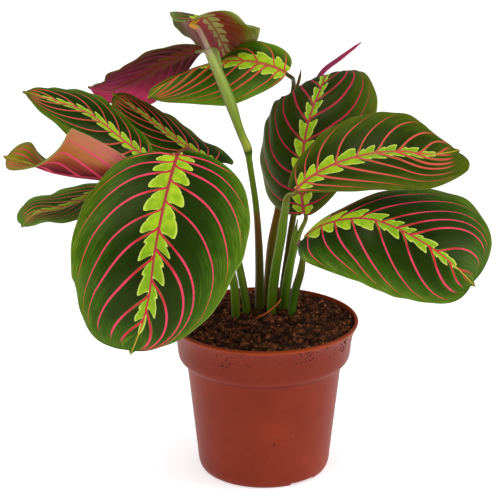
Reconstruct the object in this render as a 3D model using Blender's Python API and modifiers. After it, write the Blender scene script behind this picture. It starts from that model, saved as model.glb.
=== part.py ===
"""Potted prayer plant: a red-veined maranta in a round plastic nursery pot.

Metres, +Z up. The origin is on the pot's axis, on the surface that the pot stands on, and -Y is the
plant's front. Plant dimensions in the tables are in millimetres and are scaled once, by MM.
"""
import math

import bmesh
import bpy
import numpy as np
from mathutils import Vector, noise

MM = 0.001
GAP = 0.3               # clearance between pieces that touch

# Pot
RIM_RADIUS = 60.0
POT_HEIGHT = 100.0
WALL = 1.3
BAND_HEIGHT = 21.5      # the rim band, down to its rounded lower edge
BAND_RADIUS = 54.6      # the band's radius at that edge
NECK_RADIUS = 48.6      # the wall just under the band
NECK_HEIGHT = 64.0
BASE_RADIUS = 42.2
FOOT_RADIUS = 39.6
FOOT_WIDTH = 3.2
FLOOR_LIFT = 2.0        # the floor's drained ring stands this far above the foot
HUB_RADIUS = 20.0       # the flat middle of the floor, which also touches down
POT_STEPS = 44
NOTCH_ANGLES = (-52, 68, 188)
NOTCH_WIDTH = 17.0
HOLE_COUNT = 6
HOLE_TURN = 13.1        # degrees from the pot's right to the first hole
HOLE_RADIUS = 3.0
HOLE_CIRCLE = 29.5

# Soil
SOIL_EDGE = 97.6        # height at the pot's wall
SOIL_MOUND = 3.0        # rise of the middle over the edge
MOUND_CENTRE = (2.0, 10.0)
MOUND_SPREAD = 30.0
SOIL_RINGS = 9
SOIL_STEPS = 40
CLOD_SIZE = 9.0
CLOD_HEIGHT = 1.3
SOCKET_FLOOR = 82.0     # stems stand in plain holes down to here

# Leaves
BLADE_THICKNESS = 0.7
ROWS = 17
COLUMNS = 9
CUSP_START = 0.972      # the small point at the tip starts here, as a share of the midrib
CUSP_HALF = 1.8
LOBE = 1.5              # how far the margin runs back past the base, where a leaf gives no other
LEAF_GREEN = (0.035, 0.110, 0.012, 1)
LEAF_ROSE = (0.300, 0.045, 0.055, 1)

# Each blade: points on its midrib from base to tip, the way its upper face looks at equal steps along
# the midrib, and one value a side (the side to the left, then to the right, seen from above with the
# tip ahead) for half width, fold up at the midrib and curl up towards the margin, both in degrees.
# wide moves the widest place to the tip, blunt under 0.5 fills the corners, lobe and shoulder push the
# margin back past the base and on towards the tip. A fold or curl may be a list along the midrib.
LEAVES = {
    "leaf_front": dict(
        midrib=[(-52, -42, 220.5), (-59, -70, 199), (-64, -86, 176), (-69, -92, 143),
                (-80, -86, 109)],
        face=[(0.05, -0.6, 0.8), (0.1, -0.9, 0.3)],
        half=(52, 49), curl=(-25, -25), wide=(0.72, 0.96), blunt=(0.46, 0.34),
        lobe=(5, -1.5), shoulder=(-13, 12)),
    "leaf_right_near": dict(
        midrib=[(19, -15, 190), (48, -30, 213), (81, -37, 220.5), (100, -36.5, 218.5),
                (117, -34, 220.5)],
        face=[(0, -0.7, 0.7), (0.1, -0.75, 0.6)],
        half=(29, 22), curl=(-20, -40), wide=(1.13, 1.4), blunt=(0.62, 0.5), lobe=(5, -1),
        shoulder=(-5, 16)),
    "leaf_right_broad": dict(
        midrib=[(25, 12, 166), (24, 14, 204), (28.5, 20, 227), (35, 31, 241.5), (40, 50, 247),
                (43, 66, 237)],
        face=[(-0.4, -1, 0.3), (-0.4, -1, 0.4), (-0.3, -0.2, 1)],
        half=(38, 40), curl=((-50, -50, -40), (-40, -40, -50)), wide=(0.76, 1.08),
        blunt=(0.5, 0.62)),
    "leaf_right_low": dict(
        midrib=[(24, -18, 160), (40, -34, 175), (63, -50, 182), (95, -60, 170), (126, -62, 143)],
        face=[(0.1, -0.5, 0.85), (0.1, -0.6, 0.8), (0.3, -0.8, 0.5)],
        half=(55, 38.5), fold=(-5, -10), curl=(-30, -45), wide=(2.35, 1.1), blunt=(0.6, 0.48),
        lobe=(3, 5), shoulder=(9, 10)),
    "leaf_middle": dict(
        midrib=[(14, 42, 250), (-14, 33, 260), (-44, 23, 257), (-73, 14, 240)],
        face=[(0, -0.85, 0.5), (-0.2, -0.8, 0.6)],
        half=(26.5, 13), fold=(0, (5, 5, 5, -20, -55, -65, -65, -60, -50, -35, -20)),
        curl=(-15, -10), wide=(0.97, 0.55), blunt=(0.62, 0.6), lobe=(0, 1.5)),
    "leaf_top": dict(
        midrib=[(-43, 4, 292), (-38, 12, 292), (-32, 28, 283), (-26, 49, 266), (-22, 66, 246)],
        face=[(0.4, 0.65, 0.65), (0.4, 0.8, 0.45)],
        half=(26, 25), fold=(0, 30), curl=(-10, (-40, -35, 0, 0)), wide=(0.8, 0.8), lobe=(3, 2),
        wave=1.5),
    "leaf_back_left": dict(
        midrib=[(-39, 32, 268), (-62, 44, 256), (-82, 52, 243), (-101, 56, 235), (-113, 54, 238)],
        face=[(0, 0.6, 0.7), (0, 0.7, 0.7)],
        half=(22, 24), curl=(-20, -10), wide=(1.0, 1.65), blunt=(0.5, 0.62),
        shoulder=(0, -8)),
    "leaf_left": dict(
        midrib=[(-71, -6, 206), (-86, -8, 219), (-110, -12, 239), (-129, -16, 247), (-146, -20, 253)],
        face=[(0.3, -0.6, 0.75), (0.3, -0.3, 0.88)],
        half=(27, 21), curl=(-15, -20), wide=(0.8, 0.9), blunt=(0.6, 0.64),
        shoulder=(0, -4)),
    "leaf_left_back": dict(
        midrib=[(-30, 22, 196), (-57, 32, 210), (-80, 42, 225), (-97, 48, 235)],
        face=[(0.3, -0.35, 0.88)],
        half=(24, 18), curl=(-15, -15), wide=(0.9, 0.8), lobe=(8, 8)),
    "leaf_left_curled": dict(
        midrib=[(-69, -36, 202), (-101, -46, 206), (-127, -52, 212), (-144, -54, 219),
                (-155, -52, 221.5)],
        face=[(0, 0.3, 0.95), (0, 0.1, 0.95)],
        half=(28, 26), fold=((75, 80, 80, 70, 5, -30), (0, 0, -5, -10, 15, 30)),
        curl=((30, 30, 20, 0, -10), 20), wide=(1.78, 1.5), blunt=(0.52, 0.45), lobe=(4, 1.5),
        shoulder=(-3, 0)),
    "leaf_left_low": dict(
        midrib=[(-77, -12, 196), (-106, -18, 187), (-125, -22, 180), (-141, -25, 177),
                (-149, -26, 169)],
        face=[(-0.1, -0.2, 0.95), (-0.2, -0.3, 0.9)],
        half=(18, 16.5), fold=(10, 10), curl=(-15, -10), wide=(1.1, 1.9), blunt=(0.5, 0.62),
        lobe=(1.5, -1), shoulder=(0, 6)),
}

# Each leafy stem: where it stands in the soil and how thick it is there, then its tubes. A tube is a
# list of (x, y, z, radius); the first starts at the socket, and a tube that names a leaf ends at it.
STEMS = {
    "stem_tall": dict(root=(-3, 14, 3.0), tubes=[
        ("leaf_top", [(-3, 13, 131, 2.7), (-5, 11, 169, 2.0), (-9.6, 8, 203, 1.9),
                      (-10.4, 8, 209, 2.7), (-14.4, 8, 219, 2.6), (-22, 6, 242, 3.5),
                      (-31.5, 4, 266, 3.0), (-37, 3, 280, 1.9),
                      (-42, 1, 288, 1.8)]),
        ("leaf_back_left", [(-26, 6, 248, 1.6), (-28, 13, 262, 1.6), (-31, 23, 269, 1.5)])]),
    "stem_middle": dict(root=(3, 23, 3.3), tubes=[
        ("leaf_middle", [(5, 22, 139, 3.3), (10, 28, 167, 2.8), (15, 50, 199, 2.2), (18, 61, 226, 1.7),
                         (19, 58, 240, 1.4)]),
        (None, [(17, 57, 214, 1.6), (20, 65, 230, 1.5), (23, 68, 240, 1.0), (24, 68, 246, 0.3)])]),
    "stem_right_near": dict(root=(5, 8, 3.2), tubes=[
        ("leaf_right_near", [(7, 7, 128, 3.1), (11, 3, 155, 2.9), (13, 0, 172, 2.4),
                             (15, -7, 184, 1.6)]),
        (None, [(11, 4, 150, 2.0), (14, 1, 172, 1.7), (16, 1, 182, 0.4)])]),
    "stem_right_broad": dict(root=(13, 16, 3.0), tubes=[
        ("leaf_right_broad", [(15, 15, 121, 2.9), (19, 13, 142, 2.4), (23, 11, 155, 1.5)]),
        (None, [(16, 14, 128, 2.2), (19, 12, 148, 1.9), (21, 9, 163, 0.4)])]),
    "stem_right_low": dict(root=(18, 8, 2.8), tubes=[
        ("leaf_right_low", [(20, 6, 117, 2.7), (23, 2, 130, 2.5), (24, -5, 145, 1.7),
                            (22, -13, 155, 1.5)])]),
    "stem_left_back": dict(root=(-11, 9, 2.7), tubes=[
        ("leaf_left_back", [(-13, 7, 117, 2.6), (-17, 7, 140, 2.4), (-19, 10, 168, 1.9),
                            (-20, 16, 186, 1.5)]),
        ("leaf_left", [(-18, 7, 146, 2.0), (-34, 3, 174, 1.6), (-58, -4, 195, 1.4)])]),
    "stem_left_front": dict(root=(-18, 2, 2.8), tubes=[
        ("leaf_front", [(-19, 0, 122, 2.7), (-24, -7, 145, 2.4), (-34, -20, 178, 1.9),
                        (-43, -30, 208, 1.6), (-47, -34, 221, 1.5)]),
        ("leaf_left_curled", [(-27, -11, 155, 1.8), (-42, -23, 182, 1.6), (-58, -31, 198, 1.4)]),
        ("leaf_left_low", [(-24, -6, 142, 1.9), (-42, -8, 170, 1.5), (-62, -9, 190, 1.4)])]),
    "stem_rolled": dict(root=(12, 27, 2.3), tubes=[
        (None, [(16, 36, 135, 2.1), (25, 58, 185, 1.9), (31, 72, 222, 1.7), (34, 76, 236, 1.6)])]),
}
SPEAR = [(34.3, 76.1, 236.7, 1.3), (39, 77, 243, 1.7), (49, 77, 251, 1.5), (58, 77, 258, 1.0),
         (63, 77, 262, 0.4)]

PLANT_GREEN = (0.095, 0.165, 0.018, 1)
SHEATH_BROWN = (0.070, 0.028, 0.012, 1)
POT_RED = (0.260, 0.055, 0.028, 1)
SOIL_BROWN = (0.030, 0.016, 0.008, 1)

part = bpy.data.collections.new("potted_prayer_plant")
cutters = bpy.data.collections.new("cutters")
scratch = bpy.data.collections.new("joined_tubes")


def clear_scene():
    for old in list(bpy.data.objects):
        bpy.data.objects.remove(old, do_unlink=True)
    for collection in (part, cutters, scratch):
        bpy.context.scene.collection.children.link(collection)


def material(name, colour, roughness):
    made = bpy.data.materials.new(name)
    made.use_nodes = True
    shader = made.node_tree.nodes["Principled BSDF"]
    shader.inputs["Base Color"].default_value = colour
    shader.inputs["Roughness"].default_value = roughness
    shader.inputs["Metallic"].default_value = 0.0
    return made


def add_object(name, data, collection, look=None):
    made = bpy.data.objects.new(name, data)
    collection.objects.link(made)
    if look:
        data.materials.append(look)
    return made


def shade_smooth(mesh, angle=40):
    mesh.shade_smooth()
    mesh.set_sharp_from_angle(angle=math.radians(angle))


def evaluated_mesh(source):
    """A new mesh of the object as its modifiers leave it."""
    bpy.context.view_layer.update()
    graph = bpy.context.evaluated_depsgraph_get()
    return bpy.data.meshes.new_from_object(source.evaluated_get(graph), depsgraph=graph)


def turned(name, profile, steps, collection, look=None):
    """A solid of revolution from (radius, height) points in mm, outer side from the top down."""
    mesh = bpy.data.meshes.new(name)
    points = [(radius * MM, 0, height * MM) for radius, height in profile]
    count = len(points)
    edges = [(i, (i + 1) % count) for i in range(count)
             if profile[i][0] + profile[(i + 1) % count][0] > 0]
    mesh.from_pydata(points, edges, [])
    made = add_object(name, mesh, collection, look)
    screw = made.modifiers.new("Turn", "SCREW")
    screw.steps = steps
    screw.render_steps = steps
    screw.use_merge_vertices = True
    screw.merge_threshold = 0.00001
    screw.use_normal_calculate = False
    return made


def cut(target, cutter, solver="EXACT"):
    cutter.hide_render = True
    cutter.display_type = "WIRE"
    boolean = target.modifiers.new("Cut " + cutter.name, "BOOLEAN")
    boolean.operation = "DIFFERENCE"
    boolean.solver = solver
    boolean.object = cutter


# ---------------------------------------------------------------- pot and soil
def pot_profile():
    top = POT_HEIGHT
    edge = POT_HEIGHT - BAND_HEIGHT
    outer = [(RIM_RADIUS - 0.9, top), (RIM_RADIUS, top - 1.0), (RIM_RADIUS - 0.7, top - 2.6),
             (RIM_RADIUS - 2.0, top - 5.0), (RIM_RADIUS - 3.4, top - 9.0),
             (RIM_RADIUS - 4.7, top - 18.0), (BAND_RADIUS, edge), (BAND_RADIUS - 1.0, edge - 3.2),
             (BAND_RADIUS - 2.8, edge - 6.3), (BAND_RADIUS - 4.6, edge - 8.9),
             (NECK_RADIUS, NECK_HEIGHT), (BASE_RADIUS + 0.8, 12.0), (BASE_RADIUS, 4.5),
             (BASE_RADIUS - 0.7, 1.8), (FOOT_RADIUS, 0)]
    floor = [(FOOT_RADIUS - FOOT_WIDTH, 0), (FOOT_RADIUS - FOOT_WIDTH - 0.3, FLOOR_LIFT),
             (HUB_RADIUS + 1.2, FLOOR_LIFT), (HUB_RADIUS, 0), (0, 0)]
    inside = [(0, WALL), (HUB_RADIUS - 0.6, WALL), (HUB_RADIUS + 0.6, FLOOR_LIFT + WALL),
              (BASE_RADIUS - 2.4, FLOOR_LIFT + WALL), (BASE_RADIUS + 0.8 - WALL, 12.0),
              (NECK_RADIUS - WALL, NECK_HEIGHT + 0.6), (BAND_RADIUS - 4.4 - WALL, edge - 7.7),
              (BAND_RADIUS - 0.9 - WALL, edge - 2.0), (BAND_RADIUS + 0.4 - WALL, edge + 3.5),
              (RIM_RADIUS - 3.2 - WALL, top - 9.0), (RIM_RADIUS - 1.8 - WALL, top - 5.0),
              (RIM_RADIUS - 0.8 - WALL, top - 1.0), (RIM_RADIUS - 0.7 - WALL, top)]
    return outer, floor, inside


def build_pot():
    outer, floor, inside = pot_profile()
    look = material("Terracotta-coloured plastic", POT_RED, 0.42)
    shell = turned("pot_turned", outer + floor + inside, POT_STEPS, scratch)
    mesh = evaluated_mesh(shell)
    bpy.data.objects.remove(shell)
    weld(mesh)
    pot = add_object("pot", mesh, part, look)
    for index, degrees in enumerate(NOTCH_ANGLES):
        bpy.ops.mesh.primitive_cube_add(size=1)
        notch = keep_cutter(f"foot_notch_{index}")
        notch.scale = (12 * MM, NOTCH_WIDTH * MM, 2 * FLOOR_LIFT * MM)
        angle = math.radians(degrees)
        middle = FOOT_RADIUS + 1.0
        notch.location = (middle * math.cos(angle) * MM, middle * math.sin(angle) * MM, 0)
        notch.rotation_euler = (0, 0, angle)
        cut(pot, notch)
    for index in range(HOLE_COUNT):
        angle = math.radians(HOLE_TURN + 360 * index / HOLE_COUNT)
        bpy.ops.mesh.primitive_cylinder_add(vertices=12, radius=HOLE_RADIUS * MM, depth=12 * MM)
        hole = keep_cutter(f"drain_hole_{index}")
        hole.location = (HOLE_CIRCLE * math.cos(angle) * MM, HOLE_CIRCLE * math.sin(angle) * MM,
                         FLOOR_LIFT * MM)
        cut(pot, hole)
    shade_smooth(mesh, 35)


def keep_cutter(name):
    cutter = bpy.context.active_object
    cutter.name = name
    for home in list(cutter.users_collection):
        home.objects.unlink(cutter)
    cutters.objects.link(cutter)
    return cutter


def weld(mesh, distance=0.00001):
    bm = bmesh.new()
    bm.from_mesh(mesh)
    bmesh.ops.remove_doubles(bm, verts=bm.verts, dist=distance)
    bmesh.ops.dissolve_degenerate(bm, dist=distance, edges=bm.edges)
    bmesh.ops.recalc_face_normals(bm, faces=bm.faces)
    bm.to_mesh(mesh)
    bm.free()


def soil_height(x, y):
    """Height in mm of the soil at (x, y) in mm: a low mound with clods."""
    away = math.hypot(x - MOUND_CENTRE[0], y - MOUND_CENTRE[1]) / MOUND_SPREAD
    clods = noise.noise(Vector((x, y, 0)) / CLOD_SIZE) * CLOD_HEIGHT
    return SOIL_EDGE + SOIL_MOUND * math.exp(-away * away) + clods


def build_soil():
    _, _, inside = pot_profile()
    wall = [(radius - GAP, height) for radius, height in reversed(inside) if height < SOIL_EDGE]
    top_radius = wall[0][0] + 0.5
    rings = [(top_radius * k / SOIL_RINGS, SOIL_EDGE) for k in range(SOIL_RINGS)]
    bottom = FLOOR_LIFT + WALL + GAP
    sides = [(top_radius, SOIL_EDGE)] + [point for point in wall if point[1] > bottom + 1]
    profile = rings + sides + [(BASE_RADIUS - 3.0 - GAP, bottom), (0, bottom)]
    heap = turned("soil_turned", profile, SOIL_STEPS, scratch)
    mesh = evaluated_mesh(heap)
    bpy.data.objects.remove(heap)
    weld(mesh)
    for vertex in mesh.vertices:
        x, y, z = vertex.co / MM
        if abs(z - SOIL_EDGE) < 0.01:
            vertex.co.z = soil_height(x, y) * MM
    soil = add_object("soil", mesh, part, material("Peat", SOIL_BROWN, 0.95))
    for name, stem in STEMS.items():
        x, y, radius = stem["root"]
        depth = 2 * (POT_HEIGHT - SOCKET_FLOOR)
        bpy.ops.mesh.primitive_cylinder_add(vertices=12, radius=(radius + 2 * GAP) * MM,
                                            depth=depth * MM)
        socket = keep_cutter("socket_" + name)
        socket.location = (x * MM, y * MM, (SOCKET_FLOOR - GAP + depth / 2) * MM)
        cut(soil, socket)
    shade_smooth(mesh, 60)


# ---------------------------------------------------------------- smooth paths
def smooth_path(points, share):
    """Points in mm on a smooth curve through the given ones, at shares of its length.

    A share under 0 or over 1 runs straight on past the end.
    """
    knots = np.asarray(points, float)
    at = np.concatenate([[0], np.cumsum(np.linalg.norm(np.diff(knots, axis=0), axis=1))])
    chord = np.diff(knots, axis=0) / np.diff(at)[:, None]
    slope = np.empty_like(knots)
    before, after = np.diff(at)[:-1, None], np.diff(at)[1:, None]
    slope[1:-1] = (chord[:-1] * after + chord[1:] * before) / (before + after)
    slope[0] = 2 * chord[0] - slope[1] if len(knots) > 2 else chord[0]
    slope[-1] = 2 * chord[-1] - slope[-2] if len(knots) > 2 else chord[0]

    def on_curve(where):
        i = np.clip(np.searchsorted(at, where, side="right") - 1, 0, len(knots) - 2)
        gap = (at[i + 1] - at[i])[:, None]
        raw = (where - at[i])[:, None] / gap
        t = np.clip(raw, 0, 1)
        curve = ((2 * t**3 - 3 * t**2 + 1) * knots[i] + (t**3 - 2 * t**2 + t) * gap * slope[i]
                 + (3 * t**2 - 2 * t**3) * knots[i + 1] + (t**3 - t**2) * gap * slope[i + 1])
        past = raw - t
        return curve + past * gap * np.where(past < 0, slope[i], slope[i + 1])

    fine = np.linspace(0, at[-1], 200)
    run = np.concatenate([[0], np.cumsum(np.linalg.norm(np.diff(on_curve(fine), axis=0), axis=1))])
    share = np.asarray(share, float)
    inside = np.clip(share, 0, 1)
    where = np.interp(inside * run[-1], run, fine) + (share - inside) * run[-1]
    return on_curve(where), run[-1]


def unit(vectors):
    return vectors / np.linalg.norm(vectors, axis=-1, keepdims=True)


def along(value, share):
    """A value, or a list of values at equal steps along the midrib, read at each share."""
    values = np.atleast_1d(np.asarray(value, float))
    return np.interp(share, np.linspace(0, 1, len(values)), values)


# ---------------------------------------------------------------- leaf blades
def blade_surface(leaf, down, across):
    """Points in mm of a blade's middle surface. down runs 0 to 1 from base to tip, across -1 to 1."""
    left = across < 0
    side = np.where(left, -1.0, 1.0)
    length = smooth_path(leaf["midrib"], [0.0])[1]

    def sided(key, default):
        value = leaf.get(key, (default, default))
        return np.where(left, value[0], value[1])

    half = sided("half", 0)
    body = np.sin(math.pi * np.clip(down / CUSP_START, 0, 1) ** sided("wide", 1.0))
    cusp = CUSP_HALF * np.clip((1 - down) / (1 - CUSP_START), 0, 1)
    out = np.abs(across) * (half * np.clip(body, 0, 1) ** sided("blunt", 0.5) + cusp)
    rim = out / half
    lobe = sided("lobe", LOBE)
    out += 0.7 * lobe * np.abs(across) * (1 - down) ** 6
    back = lobe / length * (1 - down) ** 3 * np.abs(across) ** 1.5
    on = sided("shoulder", 0.0) / length * np.clip((down - 0.4) / 0.6, 0, 1) ** 2
    share = down - back + on * np.clip(rim * 1.6, 0, 1)

    spine = smooth_path(leaf["midrib"], share)[0]
    step = 0.001
    ahead = unit(smooth_path(leaf["midrib"], share + step)[0]
                 - smooth_path(leaf["midrib"], share - step)[0])
    faces = np.asarray(leaf["face"], float)
    up = np.stack([along(faces[:, axis], share) for axis in range(3)], axis=-1)
    up = unit(up - (up * ahead).sum(axis=1, keepdims=True) * ahead)
    right = np.cross(ahead, up)

    def bent(key, default):
        value = leaf.get(key, (default, default))
        degrees = np.where(left, along(value[0], share), along(value[1], share))
        return np.radians(degrees)

    fold = bent("fold", 0)
    curl = bent("curl", -20)
    curl = np.where(np.abs(curl) < 0.001, 0.001, curl) / half
    level = (np.sin(fold + curl * out) - np.sin(fold)) / curl
    rise = (np.cos(fold) - np.cos(fold + curl * out)) / curl
    rise += leaf.get("wave", 1.0) * rim**2 * np.sin(math.tau * (2 * share + 0.25 * side))
    return spine + right * (side * level)[:, None] + up * rise[:, None]


def build_leaf(name, leaf, look):
    """The blade's grid, moved onto its surface, split into triangles and thickened."""
    bm = bmesh.new()
    bmesh.ops.create_grid(bm, x_segments=COLUMNS - 1, y_segments=ROWS - 1, size=1)
    flat = np.array([vertex.co[:] for vertex in bm.verts])
    down = (1 - np.cos(math.pi * (flat[:, 1] + 1) / 2)) / 2
    placed = blade_surface(leaf, down, flat[:, 0]) * MM
    for vertex, point in zip(bm.verts, placed):
        vertex.co = point
    bmesh.ops.remove_doubles(bm, verts=bm.verts, dist=0.00002)
    bmesh.ops.triangulate(bm, faces=bm.faces)
    mesh = bpy.data.meshes.new(name)
    bm.to_mesh(mesh)
    bm.free()
    mesh.shade_smooth()
    blade = add_object(name, mesh, part, look)
    solidify = blade.modifiers.new("Thickness", "SOLIDIFY")
    solidify.thickness = BLADE_THICKNESS * MM
    solidify.offset = 0.0


def leaf_foot(name):
    """Where a blade's midrib starts, the way it sets off, and how far its lobes reach back."""
    start = smooth_path(LEAVES[name]["midrib"], [0.0, 0.02])[0]
    return start[0], unit(start[1] - start[0]), max(LEAVES[name].get("lobe", (LOBE, LOBE)))


# ---------------------------------------------------------------- stems
def tube(name, points, collection, look=None):
    """A round tube through (x, y, z, radius) points in mm, welded into one closed mesh."""
    points = np.asarray(points, float)
    length = smooth_path(points[:, :3], [0.0])[1]
    count = max(6, min(20, round(length / 8)))
    share = np.linspace(0, 1, count)
    centre = smooth_path(points[:, :3], share)[0]
    at = np.concatenate([[0], np.cumsum(np.linalg.norm(np.diff(points[:, :3], axis=0), axis=1))])
    radius = np.interp(share, at / at[-1], points[:, 3])
    curve = bpy.data.curves.new(name, "CURVE")
    curve.dimensions = "3D"
    curve.bevel_depth = MM
    curve.bevel_resolution = 2
    curve.use_fill_caps = True
    spline = curve.splines.new("POLY")
    spline.points.add(count - 1)
    for point, place, size in zip(spline.points, centre, radius):
        point.co = (*(place * MM), 1)
        point.radius = size
    soft = add_object(name + "_curve", curve, collection)
    mesh = evaluated_mesh(soft)
    bpy.data.objects.remove(soft)
    weld(mesh)
    return add_object(name, mesh, collection, look)


def build_stem(name, stem, look):
    x, y, radius = stem["root"]
    foot = [(x, y, SOCKET_FLOOR, radius), (x, y, POT_HEIGHT - 2, radius),
            (x, y, POT_HEIGHT + 2, radius)]
    tubes = []
    for index, (leaf, points) in enumerate(stem["tubes"]):
        route = (foot if index == 0 else []) + points
        if leaf:
            base, ahead, lobe = leaf_foot(leaf)
            route = route + [(*(base - (lobe + 4.0) * ahead), 1.3),
                             (*(base - (lobe + 2 * GAP) * ahead), 1.2)]
        tubes.append(tube(f"{name}_tube_{index}", route, scratch))
    stalk = tubes[0]
    rest = bpy.data.collections.new(name + "_tubes")
    for extra in tubes[1:]:
        rest.objects.link(extra)
    if len(tubes) > 1:
        union = stalk.modifiers.new("Join", "BOOLEAN")
        union.operation = "UNION"
        union.solver = "MANIFOLD"
        union.operand_type = "COLLECTION"
        union.collection = rest
    mesh = evaluated_mesh(stalk)
    for used in tubes:
        bpy.data.objects.remove(used)
    bpy.data.collections.remove(rest)
    shade_smooth(mesh, 50)
    add_object(name, mesh, part, look)


def main():
    clear_scene()
    build_pot()
    build_soil()
    upper_green = material("Leaf, green above", LEAF_GREEN, 0.45)
    rose = material("Leaf, rose beneath", LEAF_ROSE, 0.45)
    for name, leaf in LEAVES.items():
        shows_underside = name in ("leaf_top", "leaf_back_left", "leaf_left_curled")
        build_leaf(name, leaf, rose if shows_underside else upper_green)
    green = material("Green stem", PLANT_GREEN, 0.4)
    brown = material("Brown sheath", SHEATH_BROWN, 0.5)
    for name, stem in STEMS.items():
        build_stem(name, stem, brown if name in ("stem_middle", "stem_tall") else green)
    spear = tube("leaf_rolled", SPEAR, part, rose)
    shade_smooth(spear.data, 50)
    bpy.data.collections.remove(scratch)


main()
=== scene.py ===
"""Looks for the potted prayer plant: fine leaf blades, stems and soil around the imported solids."""
import math

import bpy
import numpy as np
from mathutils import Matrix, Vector, noise


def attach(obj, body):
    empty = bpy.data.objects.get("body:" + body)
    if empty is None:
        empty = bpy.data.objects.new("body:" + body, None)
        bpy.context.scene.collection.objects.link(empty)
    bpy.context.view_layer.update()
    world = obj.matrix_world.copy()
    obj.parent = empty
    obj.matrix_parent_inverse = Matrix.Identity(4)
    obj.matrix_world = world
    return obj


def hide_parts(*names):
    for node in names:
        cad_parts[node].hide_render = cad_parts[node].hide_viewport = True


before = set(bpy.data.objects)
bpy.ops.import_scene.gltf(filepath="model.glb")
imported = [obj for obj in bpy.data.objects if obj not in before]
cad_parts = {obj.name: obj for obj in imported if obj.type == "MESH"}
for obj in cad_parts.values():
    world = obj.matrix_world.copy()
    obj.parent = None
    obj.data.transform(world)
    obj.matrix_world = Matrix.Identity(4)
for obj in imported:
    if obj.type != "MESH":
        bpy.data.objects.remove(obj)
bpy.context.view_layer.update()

MM = 0.001              # every length below is in mm unless it says otherwise
LOBE = 1.5              # how far a blade's margin runs back past its base, where it gives no other
LOBE_SPREAD = 0.7       # and how much wider that makes the base, as a share of it
CUSP_START = 0.972      # the small point at the tip starts here, as a share of the midrib
CUSP_HALF = 1.8
BLADE_THICKNESS = 0.36
BLADE_ROWS = 150
BLADE_END = 0.9985      # share of the midrib where the last row lies; the tip itself has no width
BLADE_COLUMNS = 35      # a side
QUILT = 0.45            # how far the blade swells between two veins
MARGIN_RIPPLE = 0.5
MIDRIB_GROOVE = 0.45
VEIN_RIDGE = 0.16       # how far a side vein stands proud beneath

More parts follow.
